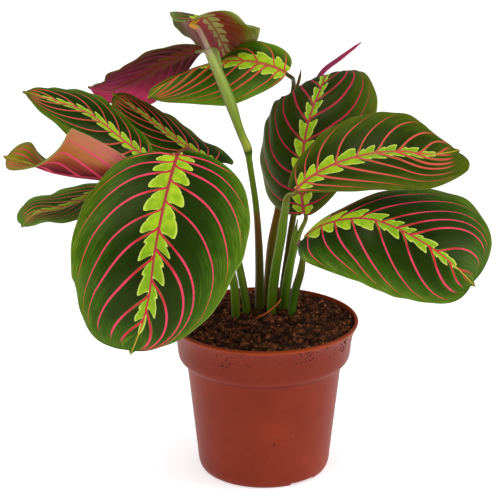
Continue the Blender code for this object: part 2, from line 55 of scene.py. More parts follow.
# The blades, as the part's source has them: points on each midrib from base to tip, the way the
# upper face looks along it, and one value a side for half width, fold and curl in degrees.
LEAVES = {
    "leaf_front": dict(
        midrib=[(-52, -42, 220.5), (-59, -70, 199), (-64, -86, 176), (-69, -92, 143),
                (-80, -86, 109)],
        face=[(0.05, -0.6, 0.8), (0.1, -0.9, 0.3)],
        half=(52, 49), curl=(-25, -25), wide=(0.72, 0.96), blunt=(0.46, 0.34),
        lobe=(5, -1.5), shoulder=(-13, 12)),
    "leaf_right_near": dict(
        midrib=[(19, -15, 190), (48, -30, 213), (81, -37, 220.5), (100, -36.5, 218.5),
                (117, -34, 220.5)],
        face=[(0, -0.7, 0.7), (0.1, -0.75, 0.6)],
        half=(29, 22), curl=(-20, -40), wide=(1.13, 1.4), blunt=(0.62, 0.5), lobe=(5, -1),
        shoulder=(-5, 16)),
    "leaf_right_broad": dict(
        midrib=[(25, 12, 166), (24, 14, 204), (28.5, 20, 227), (35, 31, 241.5), (40, 50, 247),
                (43, 66, 237)],
        face=[(-0.4, -1, 0.3), (-0.4, -1, 0.4), (-0.3, -0.2, 1)],
        half=(38, 40), curl=((-50, -50, -40), (-40, -40, -50)), wide=(0.76, 1.08),
        blunt=(0.5, 0.62)),
    "leaf_right_low": dict(
        midrib=[(24, -18, 160), (40, -34, 175), (63, -50, 182), (95, -60, 170), (126, -62, 143)],
        face=[(0.1, -0.5, 0.85), (0.1, -0.6, 0.8), (0.3, -0.8, 0.5)],
        half=(55, 38.5), fold=(-5, -10), curl=(-30, -45), wide=(2.35, 1.1), blunt=(0.6, 0.48),
        lobe=(3, 5), shoulder=(9, 10)),
    "leaf_middle": dict(
        midrib=[(14, 42, 250), (-14, 33, 260), (-44, 23, 257), (-73, 14, 240)],
        face=[(0, -0.85, 0.5), (-0.2, -0.8, 0.6)],
        half=(26.5, 13), fold=(0, (5, 5, 5, -20, -55, -65, -65, -60, -50, -35, -20)),
        curl=(-15, -10), wide=(0.97, 0.55), blunt=(0.62, 0.6), lobe=(0, 1.5)),
    "leaf_top": dict(
        midrib=[(-43, 4, 292), (-38, 12, 292), (-32, 28, 283), (-26, 49, 266), (-22, 66, 246)],
        face=[(0.4, 0.65, 0.65), (0.4, 0.8, 0.45)],
        half=(26, 25), fold=(0, 30), curl=(-10, (-40, -35, 0, 0)), wide=(0.8, 0.8), lobe=(3, 2),
        wave=1.5),
    "leaf_back_left": dict(
        midrib=[(-39, 32, 268), (-62, 44, 256), (-82, 52, 243), (-101, 56, 235), (-113, 54, 238)],
        face=[(0, 0.6, 0.7), (0, 0.7, 0.7)],
        half=(22, 24), curl=(-20, -10), wide=(1.0, 1.65), blunt=(0.5, 0.62),
        shoulder=(0, -8)),
    "leaf_left": dict(
        midrib=[(-71, -6, 206), (-86, -8, 219), (-110, -12, 239), (-129, -16, 247),
                (-146, -20, 253)],
        face=[(0.3, -0.6, 0.75), (0.3, -0.3, 0.88)],
        half=(27, 21), curl=(-15, -20), wide=(0.8, 0.9), blunt=(0.6, 0.64),
        shoulder=(0, -4)),
    "leaf_left_back": dict(
        midrib=[(-30, 22, 196), (-57, 32, 210), (-80, 42, 225), (-97, 48, 235)],
        face=[(0.3, -0.35, 0.88)],
        half=(24, 18), curl=(-15, -15), wide=(0.9, 0.8), lobe=(8, 8)),
    "leaf_left_curled": dict(
        midrib=[(-69, -36, 202), (-101, -46, 206), (-127, -52, 212), (-144, -54, 219),
                (-155, -52, 221.5)],
        face=[(0, 0.3, 0.95), (0, 0.1, 0.95)],
        half=(28, 26), fold=((75, 80, 80, 70, 5, -30), (0, 0, -5, -10, 15, 30)),
        curl=((30, 30, 20, 0, -10), 20), wide=(1.78, 1.5), blunt=(0.52, 0.45), lobe=(4, 1.5),
        shoulder=(-3, 0)),
    "leaf_left_low": dict(
        midrib=[(-77, -12, 196), (-106, -18, 187), (-125, -22, 180), (-141, -25, 177),
                (-149, -26, 169)],
        face=[(-0.1, -0.2, 0.95), (-0.2, -0.3, 0.9)],
        half=(18, 16.5), fold=(10, 10), curl=(-15, -10), wide=(1.1, 1.9), blunt=(0.5, 0.62),
        lobe=(1.5, -1), shoulder=(0, 6)),
}

# Skins: where veins start as shares of the midrib and how much they lead, a side each; the reach of
# the feather's teeth, the veins' half width in mm, and the leaf's own colours. Ground runs from the
# feather to the margin, then its streaks; a feather (LIME, dull) is middle, edge, patches; red and
# pink run outward along the veins, then the midrib. Under has the colours beneath from one margin
# to the other, near the base and near the tip.
GREEN = ((20, 36, 2), (30, 54, 3), (46, 82, 5), (74, 108, 8), (150, 178, 50))
DEEP = ((28, 40, 4), (42, 58, 5), (60, 80, 7), (84, 96, 12), (106, 124, 28))
BRIGHT = ((32, 54, 5), (48, 78, 8), (68, 104, 12), (92, 128, 18), (124, 156, 40))
LIME = ((168, 200, 32), (212, 226, 110), (98, 146, 24))
CRIMSON = ((190, 38, 54), (236, 66, 100), (204, 96, 62), (156, 62, 58))
CORAL = ((196, 76, 62), (216, 88, 76), (180, 76, 36), (176, 90, 66))
WINE = ((104, 30, 44), (112, 32, 50), (104, 40, 34), (84, 60, 22), (140, 52, 70))
DULL = ((132, 112, 50), (150, 136, 66), (120, 70, 36))
PINK = ((150, 36, 62), (164, 38, 70), (130, 40, 56), (140, 70, 60))
SKINS = {
    "leaf_front": dict(
        veins=((0.014, 0.037, 0.082, 0.165, 0.27, 0.415, 0.49, 0.63, 0.77),
               (0.022, 0.060, 0.113, 0.203, 0.31, 0.40, 0.53, 0.70, 0.82))),
    "leaf_right_near": dict(
        veins=((0.03, 0.096, 0.188, 0.314, 0.442, 0.555, 0.675, 0.79, 0.90),
               (0.03, 0.085, 0.168, 0.30, 0.43, 0.56, 0.66, 0.765, 0.88)),
        lead=(0.35, 1.4), teeth=0.55, vein=0.56, ground=DEEP, red=CORAL),
    "leaf_right_broad": dict(
        veins=((0.012, 0.05, 0.115, 0.20, 0.295, 0.385, 0.49, 0.585, 0.70, 0.82),
               (0.012, 0.045, 0.11, 0.20, 0.29, 0.385, 0.505, 0.61, 0.72, 0.84)),
        lead=(0.65, 0.95), teeth=0.6, ground=DEEP,
        red=((150, 38, 50), (178, 36, 66), (140, 62, 30), (168, 70, 66))),
    "leaf_right_low": dict(
        veins=((0.03, 0.12, 0.25, 0.375, 0.485, 0.56, 0.625, 0.765, 0.90),
               (0.05, 0.15, 0.233, 0.33, 0.455, 0.585, 0.73, 0.84, 0.93)),
        lead=(0.85, 0.7), teeth=0.72, vein=0.55),
    "leaf_middle": dict(
        veins=((0.02, 0.06, 0.15, 0.21, 0.315, 0.42, 0.52, 0.64, 0.78),
               (0.029, 0.103, 0.223, 0.33, 0.41, 0.50, 0.62, 0.75, 0.87)),
        lead=(1.6, 0.3), teeth=0.62, teeth_floor=0.66, teeth_end=0.62, vein=0.55,
        ground=BRIGHT, red=((186, 74, 44), (200, 84, 52), (176, 76, 34), (176, 90, 56))),
    "leaf_left": dict(lead=(1.3, 0.6), teeth=0.42, vein=0.42, red=CORAL),
    "leaf_left_back": dict(lead=(1.3, 1.0), teeth=0.36, vein=0.42, red=CORAL),
    "leaf_left_low": dict(lead=(1.3, 1.3), teeth=0.42, vein=0.36,
                          ground=((40, 66, 10), (54, 86, 14), (72, 110, 24), (94, 138, 50),
                                  (130, 168, 70)),
                          red=((186, 92, 70), (190, 96, 74), (170, 100, 66), (150, 120, 60))),
    "leaf_left_curled": dict(
        veins=((0.01, 0.05, 0.17, 0.33, 0.49, 0.68), (0.05, 0.18, 0.34, 0.52, 0.72)),
        lead=(1.9, 1.2), teeth=0.45, vein=0.6,
        ground=((84, 62, 14), (120, 96, 20), (140, 124, 28), (118, 128, 48), (150, 150, 60)),
        under_teeth=0.0, under_soft=0.95,
        pink=((214, 60, 100), (226, 74, 112), (214, 80, 110), (150, 60, 70)),
        under=((((0.0, (190, 116, 92)), (0.12, (196, 112, 96)), (0.26, (184, 112, 70)),
                 (0.38, (150, 66, 44)), (0.48, (98, 26, 42)), (1.0, (92, 24, 40)))),
               (((0.0, (186, 130, 90)), (0.12, (186, 120, 62)), (0.26, (168, 98, 40)),
                 (0.38, (132, 52, 42)), (0.48, (96, 24, 40)), (1.0, (90, 24, 38)))))),
    "leaf_top": dict(
        teeth=0.55, vein=0.42,
        ground=((44, 64, 14), (56, 78, 18), (76, 98, 30), (104, 124, 50), (140, 156, 80)),
        red=((178, 70, 52), (186, 80, 62), (160, 84, 50), (150, 100, 60)),
        dull=((172, 178, 98), (184, 190, 112), (150, 140, 70)),
        pink=((140, 50, 50), (146, 60, 54), (124, 70, 46), (150, 100, 50)),
        under=((((0.0, (104, 116, 58)), (0.08, (108, 110, 62)), (0.14, (172, 138, 126)),
                 (0.19, (166, 110, 106)), (0.24, (172, 40, 52)), (0.43, (166, 38, 42)),
                 (0.60, (134, 44, 22)), (0.68, (120, 44, 10)), (0.77, (130, 62, 22)),
                 (0.85, (116, 124, 22)), (0.94, (142, 152, 56)), (1.0, (160, 164, 90)))),
               (((0.0, (104, 108, 54)), (0.12, (150, 100, 90)), (0.25, (160, 44, 50)),
                 (0.45, (150, 40, 40)), (0.62, (124, 46, 16)), (0.76, (128, 66, 24)),
                 (0.86, (120, 122, 26)), (1.0, (150, 154, 78)))))),
    "leaf_back_left": dict(
        teeth=0.5, vein=0.6, under_soft=0.5,
        dull=((138, 80, 36), (144, 88, 40), (112, 50, 20)),
        pink=((150, 40, 84), (168, 50, 94), (140, 44, 70), (116, 60, 24)),
        under=((((0.0, (104, 74, 30)), (0.10, (84, 44, 16)), (0.30, (66, 26, 10)),
                 (0.46, (104, 56, 14)), (0.54, (98, 50, 16)), (0.70, (74, 26, 16)),
                 (1.0, (96, 34, 40)))),
               (((0.0, (104, 54, 38)), (0.12, (110, 38, 52)), (0.32, (136, 44, 70)),
                 (0.5, (162, 48, 80)), (0.70, (188, 52, 90)), (0.9, (204, 60, 102)),
                 (1.0, (192, 64, 98)))))),
}
for name, skin in SKINS.items():
    LEAVES[name].update(skin)

# Stems: the foot's x, y and radius, then tubes of (x, y, z, radius), each with the leaf it carries.
STEMS = {
    "stem_tall": dict(root=(-3, 14, 3.0), tubes=[
        (None, [(-3, 13, 131, 2.7), (-5, 11, 169, 2.0), (-9.6, 8, 203, 1.9), (-10.4, 8, 209, 2.7),
                (-14.4, 8, 219, 2.6), (-22, 6, 242, 3.5), (-31.5, 4, 266, 3.1),
                (-35, 3.3, 274, 2.6)]),
        ("leaf_top", [(-30, 4.4, 262, 1.9), (-35, 3.3, 275, 1.7), (-38, 2.7, 282, 1.6),
                      (-42, 1, 288, 1.7)]),
        ("leaf_back_left", [(-26, 6, 248, 1.6), (-28, 13, 262, 1.6), (-31, 23, 269, 1.5)])]),
    "stem_middle": dict(root=(3, 23, 3.3), tubes=[
        ("leaf_middle", [(5, 22, 139, 3.3), (10, 28, 167, 2.8), (15, 50, 199, 2.2),
                         (18, 61, 226, 1.7), (19, 58, 240, 1.4)]),
        (None, [(17, 57, 214, 1.6), (20, 65, 230, 1.5), (23, 68, 240, 1.0), (24, 68, 246, 0.3)])]),
    "stem_right_near": dict(root=(5, 8, 3.2), tubes=[
        ("leaf_right_near", [(7, 7, 128, 3.1), (11, 3, 155, 2.9), (13, 0, 172, 2.4),
                             (15, -7, 184, 1.6)]),
        (None, [(11, 4, 150, 2.0), (14, 1, 172, 1.7), (16, 1, 182, 0.4)])]),
    "stem_right_broad": dict(root=(13, 16, 3.0), tubes=[
        ("leaf_right_broad", [(15, 15, 121, 2.9), (19, 13, 142, 2.4), (23, 11, 155, 1.5)]),
        (None, [(16, 14, 128, 2.2), (19, 12, 148, 1.9), (21, 9, 163, 0.4)])]),
    "stem_right_low": dict(root=(18, 8, 2.8), tubes=[
        ("leaf_right_low", [(20, 6, 117, 2.7), (23, 2, 130, 2.5), (24, -5, 145, 1.7),
                            (22, -13, 155, 1.5)])]),
    "stem_left_back": dict(root=(-11, 9, 2.7), tubes=[
        ("leaf_left_back", [(-13, 7, 117, 2.6), (-17, 7, 140, 2.4), (-19, 10, 168, 1.9),
                            (-20, 16, 186, 1.5)]),
        ("leaf_left", [(-18, 7, 146, 2.0), (-34, 3, 174, 1.6), (-58, -4, 195, 1.4)])]),
    "stem_left_front": dict(root=(-18, 2, 2.8), tubes=[
        ("leaf_front", [(-19, 0, 122, 2.7), (-24, -7, 145, 2.4), (-34, -20, 178, 1.9),
                        (-43, -30, 208, 1.6), (-47, -34, 221, 1.5)]),
        ("leaf_left_curled", [(-27, -11, 155, 1.8), (-42, -23, 182, 1.6), (-58, -31, 198, 1.4)]),
        ("leaf_left_low", [(-24, -6, 142, 1.9), (-42, -8, 170, 1.5), (-62, -9, 190, 1.4)])]),
    "stem_rolled": dict(root=(12, 27, 2.3), tubes=[
        (None, [(16, 36, 135, 2.1), (25, 58, 185, 1.9), (31, 72, 222, 1.7), (34, 76, 236, 1.6)])]),
}
# Stem skins: colours at heights in mm, then the stripe on the left of each and its right side. On
# the green stems the pale green left stripe is a painted highlight and the dark green right side
# painted shade; the red, pink-grey and brown ones are the stems' own colours.
STEM_SKINS = {
    "stem_tall": (
        ((100, (72, 76, 12)), (130, (66, 62, 10)), (152, (84, 46, 14)), (164, (96, 66, 16)),
         (171, (80, 104, 10)), (205, (88, 118, 14)), (208, (44, 80, 8)), (211, (160, 166, 60)),
         (222, (122, 146, 46)), (246, (140, 160, 70)), (268, (156, 168, 88)),
         (275, (158, 136, 118)), (286, (158, 112, 104)), (289, (204, 144, 22))),
        (150, 124, 112), (96, 116, 34)),
    "stem_middle": (
        ((100, (86, 82, 12)), (150, (92, 78, 16)), (180, (104, 56, 28)), (204, (110, 78, 30)),
         (228, (104, 84, 40)), (245, (84, 76, 24))), (136, 58, 36), (58, 60, 12)),
    "stem_right_near": (
        ((100, (82, 106, 14)), (130, (78, 112, 14)), (160, (92, 126, 22)), (176, (112, 134, 46)),
         (188, (116, 96, 40))), (140, 158, 78), (30, 42, 4)),
    "stem_right_broad": (
        ((100, (70, 104, 14)), (128, (92, 130, 22)), (150, (112, 142, 40)), (165, (104, 92, 34))),
        (136, 166, 64), (38, 56, 8)),
    "stem_right_low": (
        ((100, (70, 116, 22)), (114, (62, 104, 18)), (126, (74, 92, 20)), (140, (92, 96, 26)),
         (158, (120, 72, 44))), (132, 104, 104), (38, 50, 8)),
    "stem_left_back": (
        ((100, (78, 110, 20)), (140, (92, 126, 28)), (190, (124, 110, 50))),
        (132, 158, 76), (104, 62, 34)),
    "stem_left_front": (
        ((100, (76, 106, 18)), (140, (96, 130, 26)), (200, (120, 100, 50)), (222, (110, 80, 40))),
        (124, 150, 66), (112, 60, 36)),
    "stem_rolled": (
        ((100, (60, 50, 10)), (180, (84, 80, 26)), (236, (120, 80, 60))),
        (110, 70, 40), (50, 50, 14)),
}
# The rolled leaf: x, y, z and radius.
SPEAR = [(34.3, 76.1, 236.7, 1.3), (39, 77, 243, 1.7), (49, 77, 251, 1.5), (58, 77, 258, 1.0),
         (63, 77, 262, 0.4)]


def smooth_path(points, share):
    """Points in mm on a smooth curve through the given ones, at shares of its length.

    A share under 0 or over 1 runs straight on past the end.
    """
    knots = np.asarray(points, float)
    at = np.concatenate([[0], np.cumsum(np.linalg.norm(np.diff(knots, axis=0), axis=1))])
    chord = np.diff(knots, axis=0) / np.diff(at)[:, None]
    slope = np.empty_like(knots)
    before, after = np.diff(at)[:-1, None], np.diff(at)[1:, None]
    slope[1:-1] = (chord[:-1] * after + chord[1:] * before) / (before + after)
    slope[0] = 2 * chord[0] - slope[1] if len(knots) > 2 else chord[0]
    slope[-1] = 2 * chord[-1] - slope[-2] if len(knots) > 2 else chord[0]

    def on_curve(where):
        i = np.clip(np.searchsorted(at, where, side="right") - 1, 0, len(knots) - 2)
        gap = (at[i + 1] - at[i])[:, None]
        raw = (where - at[i])[:, None] / gap
        t = np.clip(raw, 0, 1)
        curve = ((2 * t**3 - 3 * t**2 + 1) * knots[i] + (t**3 - 2 * t**2 + t) * gap * slope[i]
                 + (3 * t**2 - 2 * t**3) * knots[i + 1] + (t**3 - t**2) * gap * slope[i + 1])
        past = raw - t
        return curve + past * gap * np.where(past < 0, slope[i], slope[i + 1])

    fine = np.linspace(0, at[-1], 200)
    run = np.concatenate([[0], np.cumsum(np.linalg.norm(np.diff(on_curve(fine), axis=0), axis=1))])
    share = np.asarray(share, float)
    inside = np.clip(share, 0, 1)
    where = np.interp(inside * run[-1], run, fine) + (share - inside) * run[-1]
    return on_curve(where), run[-1]


def unit(vectors):
    return vectors / np.linalg.norm(vectors, axis=-1, keepdims=True)


def along(value, share):
    """A value, or a list of values at equal steps along the midrib, read at each share."""
    values = np.atleast_1d(np.asarray(value, float))
    return np.interp(share, np.linspace(0, 1, len(values)), values)


def mixed(values, low, high):
    """0 below low, 1 above high and smooth between, or the other way round where low > high."""
    t = np.clip((values - low) / (high - low), 0, 1)
    return t * t * (3 - 2 * t)


# -------- leaf blades
def blade_surface(leaf, down, across):
    """Points in mm of a blade's middle surface, and how far each lies from the midrib.

    down runs 0 to 1 from base to tip, across -1 to 1.
    """
    left = across < 0
    side = np.where(left, -1.0, 1.0)
    length = smooth_path(leaf["midrib"], [0.0])[1]

    def sided(key, default):
        value = leaf.get(key, (default, default))
        return np.where(left, value[0], value[1])

    half = sided("half", 0)
    body = np.sin(math.pi * np.clip(down / CUSP_START, 0, 1) ** sided("wide", 1.0))
    cusp = CUSP_HALF * np.clip((1 - down) / (1 - CUSP_START), 0, 1)
    out = np.abs(across) * (half * np.clip(body, 0, 1) ** sided("blunt", 0.5) + cusp)
    rim = out / half
    lobe = sided("lobe", LOBE)
    out += LOBE_SPREAD * lobe * np.abs(across) * (1 - down) ** 6
    back = lobe / length * (1 - down) ** 3 * np.abs(across) ** 1.5
    on = sided("shoulder", 0.0) / length * np.clip((down - 0.4) / 0.6, 0, 1) ** 2
    share = down - back + on * np.clip(rim * 1.6, 0, 1)

    spine = smooth_path(leaf["midrib"], share)[0]
    step = 0.001
    ahead = unit(smooth_path(leaf["midrib"], share + step)[0]
                 - smooth_path(leaf["midrib"], share - step)[0])
    faces = np.asarray(leaf["face"], float)
    up = np.stack([along(faces[:, axis], share) for axis in range(3)], axis=-1)
    up = unit(up - (up * ahead).sum(axis=1, keepdims=True) * ahead)
    right = np.cross(ahead, up)

    def bent(key, default):
        value = leaf.get(key, (default, default))
        degrees = np.where(left, along(value[0], share), along(value[1], share))
        return np.radians(degrees)

    fold = bent("fold", 0)
    curl = bent("curl", -20)
    curl = np.where(np.abs(curl) < 0.001, 0.001, curl) / half
    level = (np.sin(fold + curl * out) - np.sin(fold)) / curl
    rise = (np.cos(fold) - np.cos(fold + curl * out)) / curl
    rise += leaf.get("wave", 1.0) * rim**2 * np.sin(math.tau * (2 * share + 0.25 * side))
    return spine + right * (side * level)[:, None] + up * rise[:, None], out, share


VEIN_STARTS = ((0.02, 0.06, 0.13, 0.22, 0.33, 0.44, 0.57, 0.71, 0.84),
               (0.03, 0.09, 0.17, 0.27, 0.38, 0.50, 0.64, 0.78, 0.89))
# A vein that starts at s on the midrib runs tipward by a|v| + b|v|^c of the midrib's length.
VEIN_COURSE = {"s": (-0.1, 0.014, 0.04, 0.11, 0.20, 0.30, 0.41, 0.53, 0.70, 1.0),
               "a": (-0.06, -0.03, 0.025, 0.09, 0.12, 0.18, 0.24, 0.26, 0.27, 0.27),
               "b": (0.03, 0.06, 0.235, 0.40, 0.50, 0.50, 0.43, 0.41, 0.40, 0.38),
               "c": (4.0, 5.0, 7.0, 4.75, 3.6, 3.1, 2.5, 2.1, 1.95, 1.9)}
DECURRENT = 2.5                 # mm that a vein runs along the midrib before it leaves


def vein_phase(starts, lead, share, across, out, length):
    """Which vein each point lies on, whole numbers on a vein, and where that vein starts."""
    origin = np.linspace(-0.16, 1.12, 400)
    a, b, c = (np.interp(origin, VEIN_COURSE["s"], VEIN_COURSE[key]) for key in "abc")
    seen = share + DECURRENT / length * np.exp(-out / 1.5)
    start = np.empty_like(seen)
    for column in range(share.shape[1]):
        rim = across[0, column]
        course = origin + lead * (a * rim + b * rim ** c)
        start[:, column] = np.interp(seen[:, column], np.maximum.accumulate(course), origin)
    knots = [-0.16, *starts, 1.12]
    phase = [-0.45, *range(len(starts)), len(starts) - 0.55]
    return np.interp(start, knots, phase), start


def per_mm(phase, points):
    """How fast the phase changes over the surface, in 1/mm, on one side's grid."""
    rows, columns = np.gradient(phase)
    by_row, by_column = np.gradient(points, axis=(0, 1))
    a = (by_row * by_row).sum(-1) + 1e-6
    b = (by_row * by_column).sum(-1)
    c = (by_column * by_column).sum(-1) + 1e-6
    size = (c * rows**2 - 2 * b * rows * columns + a * columns**2) / np.maximum(a * c - b * b, 1e-9)
    return np.sqrt(np.clip(size, 1e-6, 4.0))


def put(name, data):
    """A new object in the scene that shows the data."""
    made = bpy.data.objects.new(name, data)
    bpy.context.scene.collection.objects.link(made)
    return made


def make_mesh(name, points, faces, smooth=True):
    mesh = bpy.data.meshes.new(name)
    mesh.from_pydata([tuple(point) for point in np.asarray(points) * MM], [], faces)
    if smooth:
        mesh.shade_smooth()
    return put(name, mesh)


def store(mesh, name, domain, values):
    """Keep a vector for each point or face corner, for the looks to read."""
    held = mesh.attributes.new(name, "FLOAT_VECTOR", domain)
    held.data.foreach_set("vector", values.astype(np.float32).ravel())


def ring_band(low, high, steps):
    """Faces between two rings of points that start at low and high."""
    return [[low + s, high + s, high + (s + 1) % steps, low + (s + 1) % steps]
            for s in range(steps)]


def polar(radius, turn):
    return radius * math.cos(turn), radius * math.sin(turn)


def stand_for(piece, *nodes, slot):
    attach(piece, "root")
    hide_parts(*nodes)


def blade_relief(points, out, share, rim, down, phase, pace):
    """Points of the upper face, veins in grooves, and of the lower, where they stand proud."""
    by_row, by_column = np.gradient(points, axis=(0, 1))
    normal = unit(np.cross(by_column, by_row))
    turn = phase - np.floor(phase)
    from_vein = np.minimum(turn, 1 - turn) / pace
    flat = mixed(out, 0.5, 5.0) * mixed(rim, 1.0, 0.8)
    quilt = QUILT * np.sin(math.pi * turn) ** 0.8 * flat
    ripple = MARGIN_RIPPLE * rim**4 * np.sin(math.tau * (phase * 0.5 + 3 * share))
    groove = MIDRIB_GROOVE * np.exp(-(out / 1.1) ** 2) * (1 - down) ** 0.5
    ridge = (0.15 + 0.95 * (1 - down) ** 0.7) * np.exp(-(out / 0.9) ** 2)
    ridge += VEIN_RIDGE * np.exp(-(from_vein / 0.5) ** 2) * mixed(rim, 1.0, 0.85)
    half = BLADE_THICKNESS / 2 * (0.45 + 0.55 * mixed(rim, 1.0, 0.96))
    top = points + normal * (half + quilt + ripple - groove)[..., None]
    under = points - normal * (half - quilt - ripple + ridge)[..., None]
    return np.concatenate([top.reshape(-1, 3), under.reshape(-1, 3)])


def blade_faces(columns):
    """Faces of a closed blade, which of them lie beneath or in the rim, and which on the left."""
    count = BLADE_ROWS * columns
    row, column = np.meshgrid(np.arange(BLADE_ROWS - 1), np.arange(columns - 1), indexing="ij")
    first = (row * columns + column).ravel()
    upper = np.stack([first, first + 1, first + columns + 1, first + columns], axis=1)
    lower = upper[:, ::-1] + count
    edge = np.concatenate([np.arange(columns), np.arange(1, BLADE_ROWS) * columns + columns - 1,
                           np.arange(columns - 2, -1, -1) + (BLADE_ROWS - 1) * columns,
                           np.arange(BLADE_ROWS - 2, 0, -1) * columns])
    after = np.roll(edge, -1)
    band = np.stack([edge, edge + count, after + count, after], axis=1)
    faces = np.concatenate([upper, lower, band])
    on_left = np.concatenate([np.tile(column.ravel(), 2),
                              np.minimum(edge % columns, after % columns)]) < columns // 2
    return faces, (np.arange(len(faces)) >= len(upper)).astype(int), on_left


def build_blade(name, leaf, looks):
    """A closed blade that carries its places and its vein phases for the looks."""
    middle = BLADE_COLUMNS
    columns = 2 * middle + 1
    down = BLADE_END * (1 - np.cos(np.linspace(0, math.pi, BLADE_ROWS))) / 2
    steps = np.linspace(-1, 1, columns)
    across = np.sign(steps) * np.abs(steps) ** 1.25
    down, across = np.meshgrid(down, across, indexing="ij")
    points, out, share = blade_surface(leaf, down.ravel(), across.ravel())
    points = points.reshape(BLADE_ROWS, columns, 3)
    out, share = out.reshape(down.shape), share.reshape(down.shape)
    rim = np.abs(across)
    length = smooth_path(leaf["midrib"], [0.0])[1]
    veins = leaf.get("veins", VEIN_STARTS)
    sides = []
    for index, part in enumerate((slice(0, middle + 1), slice(middle, columns))):
        phase, start = vein_phase(veins[index], leaf.get("lead", (1, 1))[index], share[:, part],
                                  rim[:, part], out[:, part], length)
        sides.append((phase, per_mm(phase, points[:, part]), start))
    layers = [np.hstack([left, right[:, 1:]]) for left, right in zip(*sides)]

    phase, pace, _ = layers
    vertices = blade_relief(points, out, share, rim, down, phase, pace)
    faces, beneath, on_left = blade_faces(columns)
    blade = make_mesh(name + "_blade", vertices, faces.tolist())

    # The two sides of the midrib carry their own phases, so the values belong to face corners.
    corner = faces % len(points.reshape(-1, 3))
    place = np.stack([out * np.sign(across), share, rim], axis=-1).reshape(-1, 3)
    vein = []
    for side, column in zip(sides, (-1, 0)):
        seen = [layer.copy() for layer in layers]
        for layer, own in zip(seen, side):
            layer[:, middle] = own[:, column]
        vein.append(np.stack(seen, axis=-1).reshape(-1, 3)[corner])
    store(blade.data, "blade_place", "CORNER", place[corner])
    store(blade.data, "blade_vein", "CORNER", np.where(on_left[:, None, None], *vein))
    for look in looks:
        blade.data.materials.append(look)
    blade.data.polygons.foreach_set("material_index", beneath)
    return blade


# -------- materials
def linear(colour):
    """Scene colour from everyday 0 to 255 values."""
    share = [value / 255 for value in colour]
    return (*[c / 12.92 if c < 0.04045 else ((c + 0.055) / 1.055) ** 2.4 for c in share], 1)


class Look:
    """A node material built in short calls. Every method returns an output socket."""

    def __init__(self, name, roughness=0.5, **finish):
        self.material = bpy.data.materials.new(name)
        self.material.use_nodes = True
        self.tree = self.material.node_tree
        self.shader = self.tree.nodes["Principled BSDF"]
        self.shader.inputs["Roughness"].default_value = roughness
        for key, value in finish.items():
            self.shader.inputs[key.replace("_", " ")].default_value = value

    def node(self, kind, inputs, output=0, **settings):
        made = self.tree.nodes.new("ShaderNode" + kind)
        for key, value in settings.items():
            setattr(made, key, value)
        for key, value in inputs.items():
            if isinstance(value, bpy.types.NodeSocket):
                self.tree.links.new(value, made.inputs[key])
            else:
                made.inputs[key].default_value = value
        return made.outputs[output]

    def calc(self, operation, first, second=0.0, third=0.0):
        return self.node("Math", {0: first, 1: second, 2: third}, operation=operation)

    def times(self, first, second):
        return self.calc("MULTIPLY", first, second)

    def plus(self, first, second):
        return self.calc("ADD", first, second)

    def less(self, first, second):
        return self.calc("SUBTRACT", first, second)

    def line(self, value, slope, start):
        """start + slope * value."""
        return self.calc("MULTIPLY_ADD", value, slope, start)

    def step(self, value, low, high):
        """0 below low, 1 above high, smooth between; reversed where low > high."""
        if low < high:
            ends = {"From Min": low, "From Max": high, "To Min": 0.0, "To Max": 1.0}
        else:
            ends = {"From Min": high, "From Max": low, "To Min": 1.0, "To Max": 0.0}
        return self.node("MapRange", {"Value": value, **ends}, interpolation_type="SMOOTHSTEP")

    def mix(self, factor, first, second):
        pair = [linear(c) if isinstance(c, tuple) else c for c in (first, second)]
        return self.node("Mix", {"Factor": factor, 6: pair[0], 7: pair[1]}, output=2,
                         data_type="RGBA")

    def over(self, colour, other, amount, value, low, high):
        """A colour with a share of another over it, where the value goes from low to high."""
        return self.mix(self.times(self.step(value, low, high), amount), colour, other)

    def ramp(self, value, *stops):
        made = self.tree.nodes.new("ShaderNodeValToRGB")
        made.color_ramp.interpolation = "EASE"
        points = made.color_ramp.elements
        while len(points) < len(stops):
            points.new(0.5)
        for point, (at, colour) in zip(points, stops):
            point.position = at
            point.color = linear(colour)
        self.tree.links.new(value, made.inputs[0])
        return made.outputs[0]

    def curve(self, value, *points):
        made = self.tree.nodes.new("ShaderNodeFloatCurve")
        line = made.mapping.curves[0]
        while len(line.points) < len(points):
            line.points.new(0.5, 0.5)
        for point, place in zip(line.points, points):
            point.location = place
            point.handle_type = "VECTOR"
        made.mapping.update()
        self.tree.links.new(value, made.inputs["Value"])
        return made.outputs[0]

    def attribute(self, name):
        split = self.node("Attribute", {}, output=1, attribute_name=name)
        xyz = self.node("SeparateXYZ", {0: split})
        return [xyz.node.outputs[index] for index in range(3)]

    def place(self):
        """Place in the object's own metres."""
        return self.node("TexCoord", {}, output=3)

    def noise(self, scale, detail=2.0, where=None, rough=0.5):
        """Noise from 0 to 1 in the object's own metres, or over the given vector."""
        if where is None:
            where = self.place()
        return self.node("TexNoise", {"Vector": where, "Scale": scale, "Detail": detail,
                                      "Roughness": rough})

    def lines(self, first, first_scale, second, second_scale, detail=2):
        """Noise drawn out into lines: fine over the first value, long over the second."""
        where = self.node("CombineXYZ", {0: self.times(first, first_scale),
                                         1: self.times(second, second_scale)})
        return self.noise(1.0, detail, where)

    def cells(self, scale):
        """Distance to the nearest of many scattered points."""
        return self.node("TexVoronoi", {"Vector": self.place(), "Scale": scale})

    def finish(self, colour, roughness, height, strength, distance):
        self.tree.links.new(colour, self.shader.inputs["Base Color"])
        self.tree.links.new(roughness, self.shader.inputs["Roughness"])
        bump = self.node("Bump", {"Strength": strength, "Distance": distance, "Height": height})
        self.tree.links.new(bump, self.shader.inputs["Normal"])
        return self.material


GLOSS = (1.0, 1.0, 0.5, 1)      # tint of the light that a green skin mirrors
MARGIN_GREEN = (150, 170, 80)
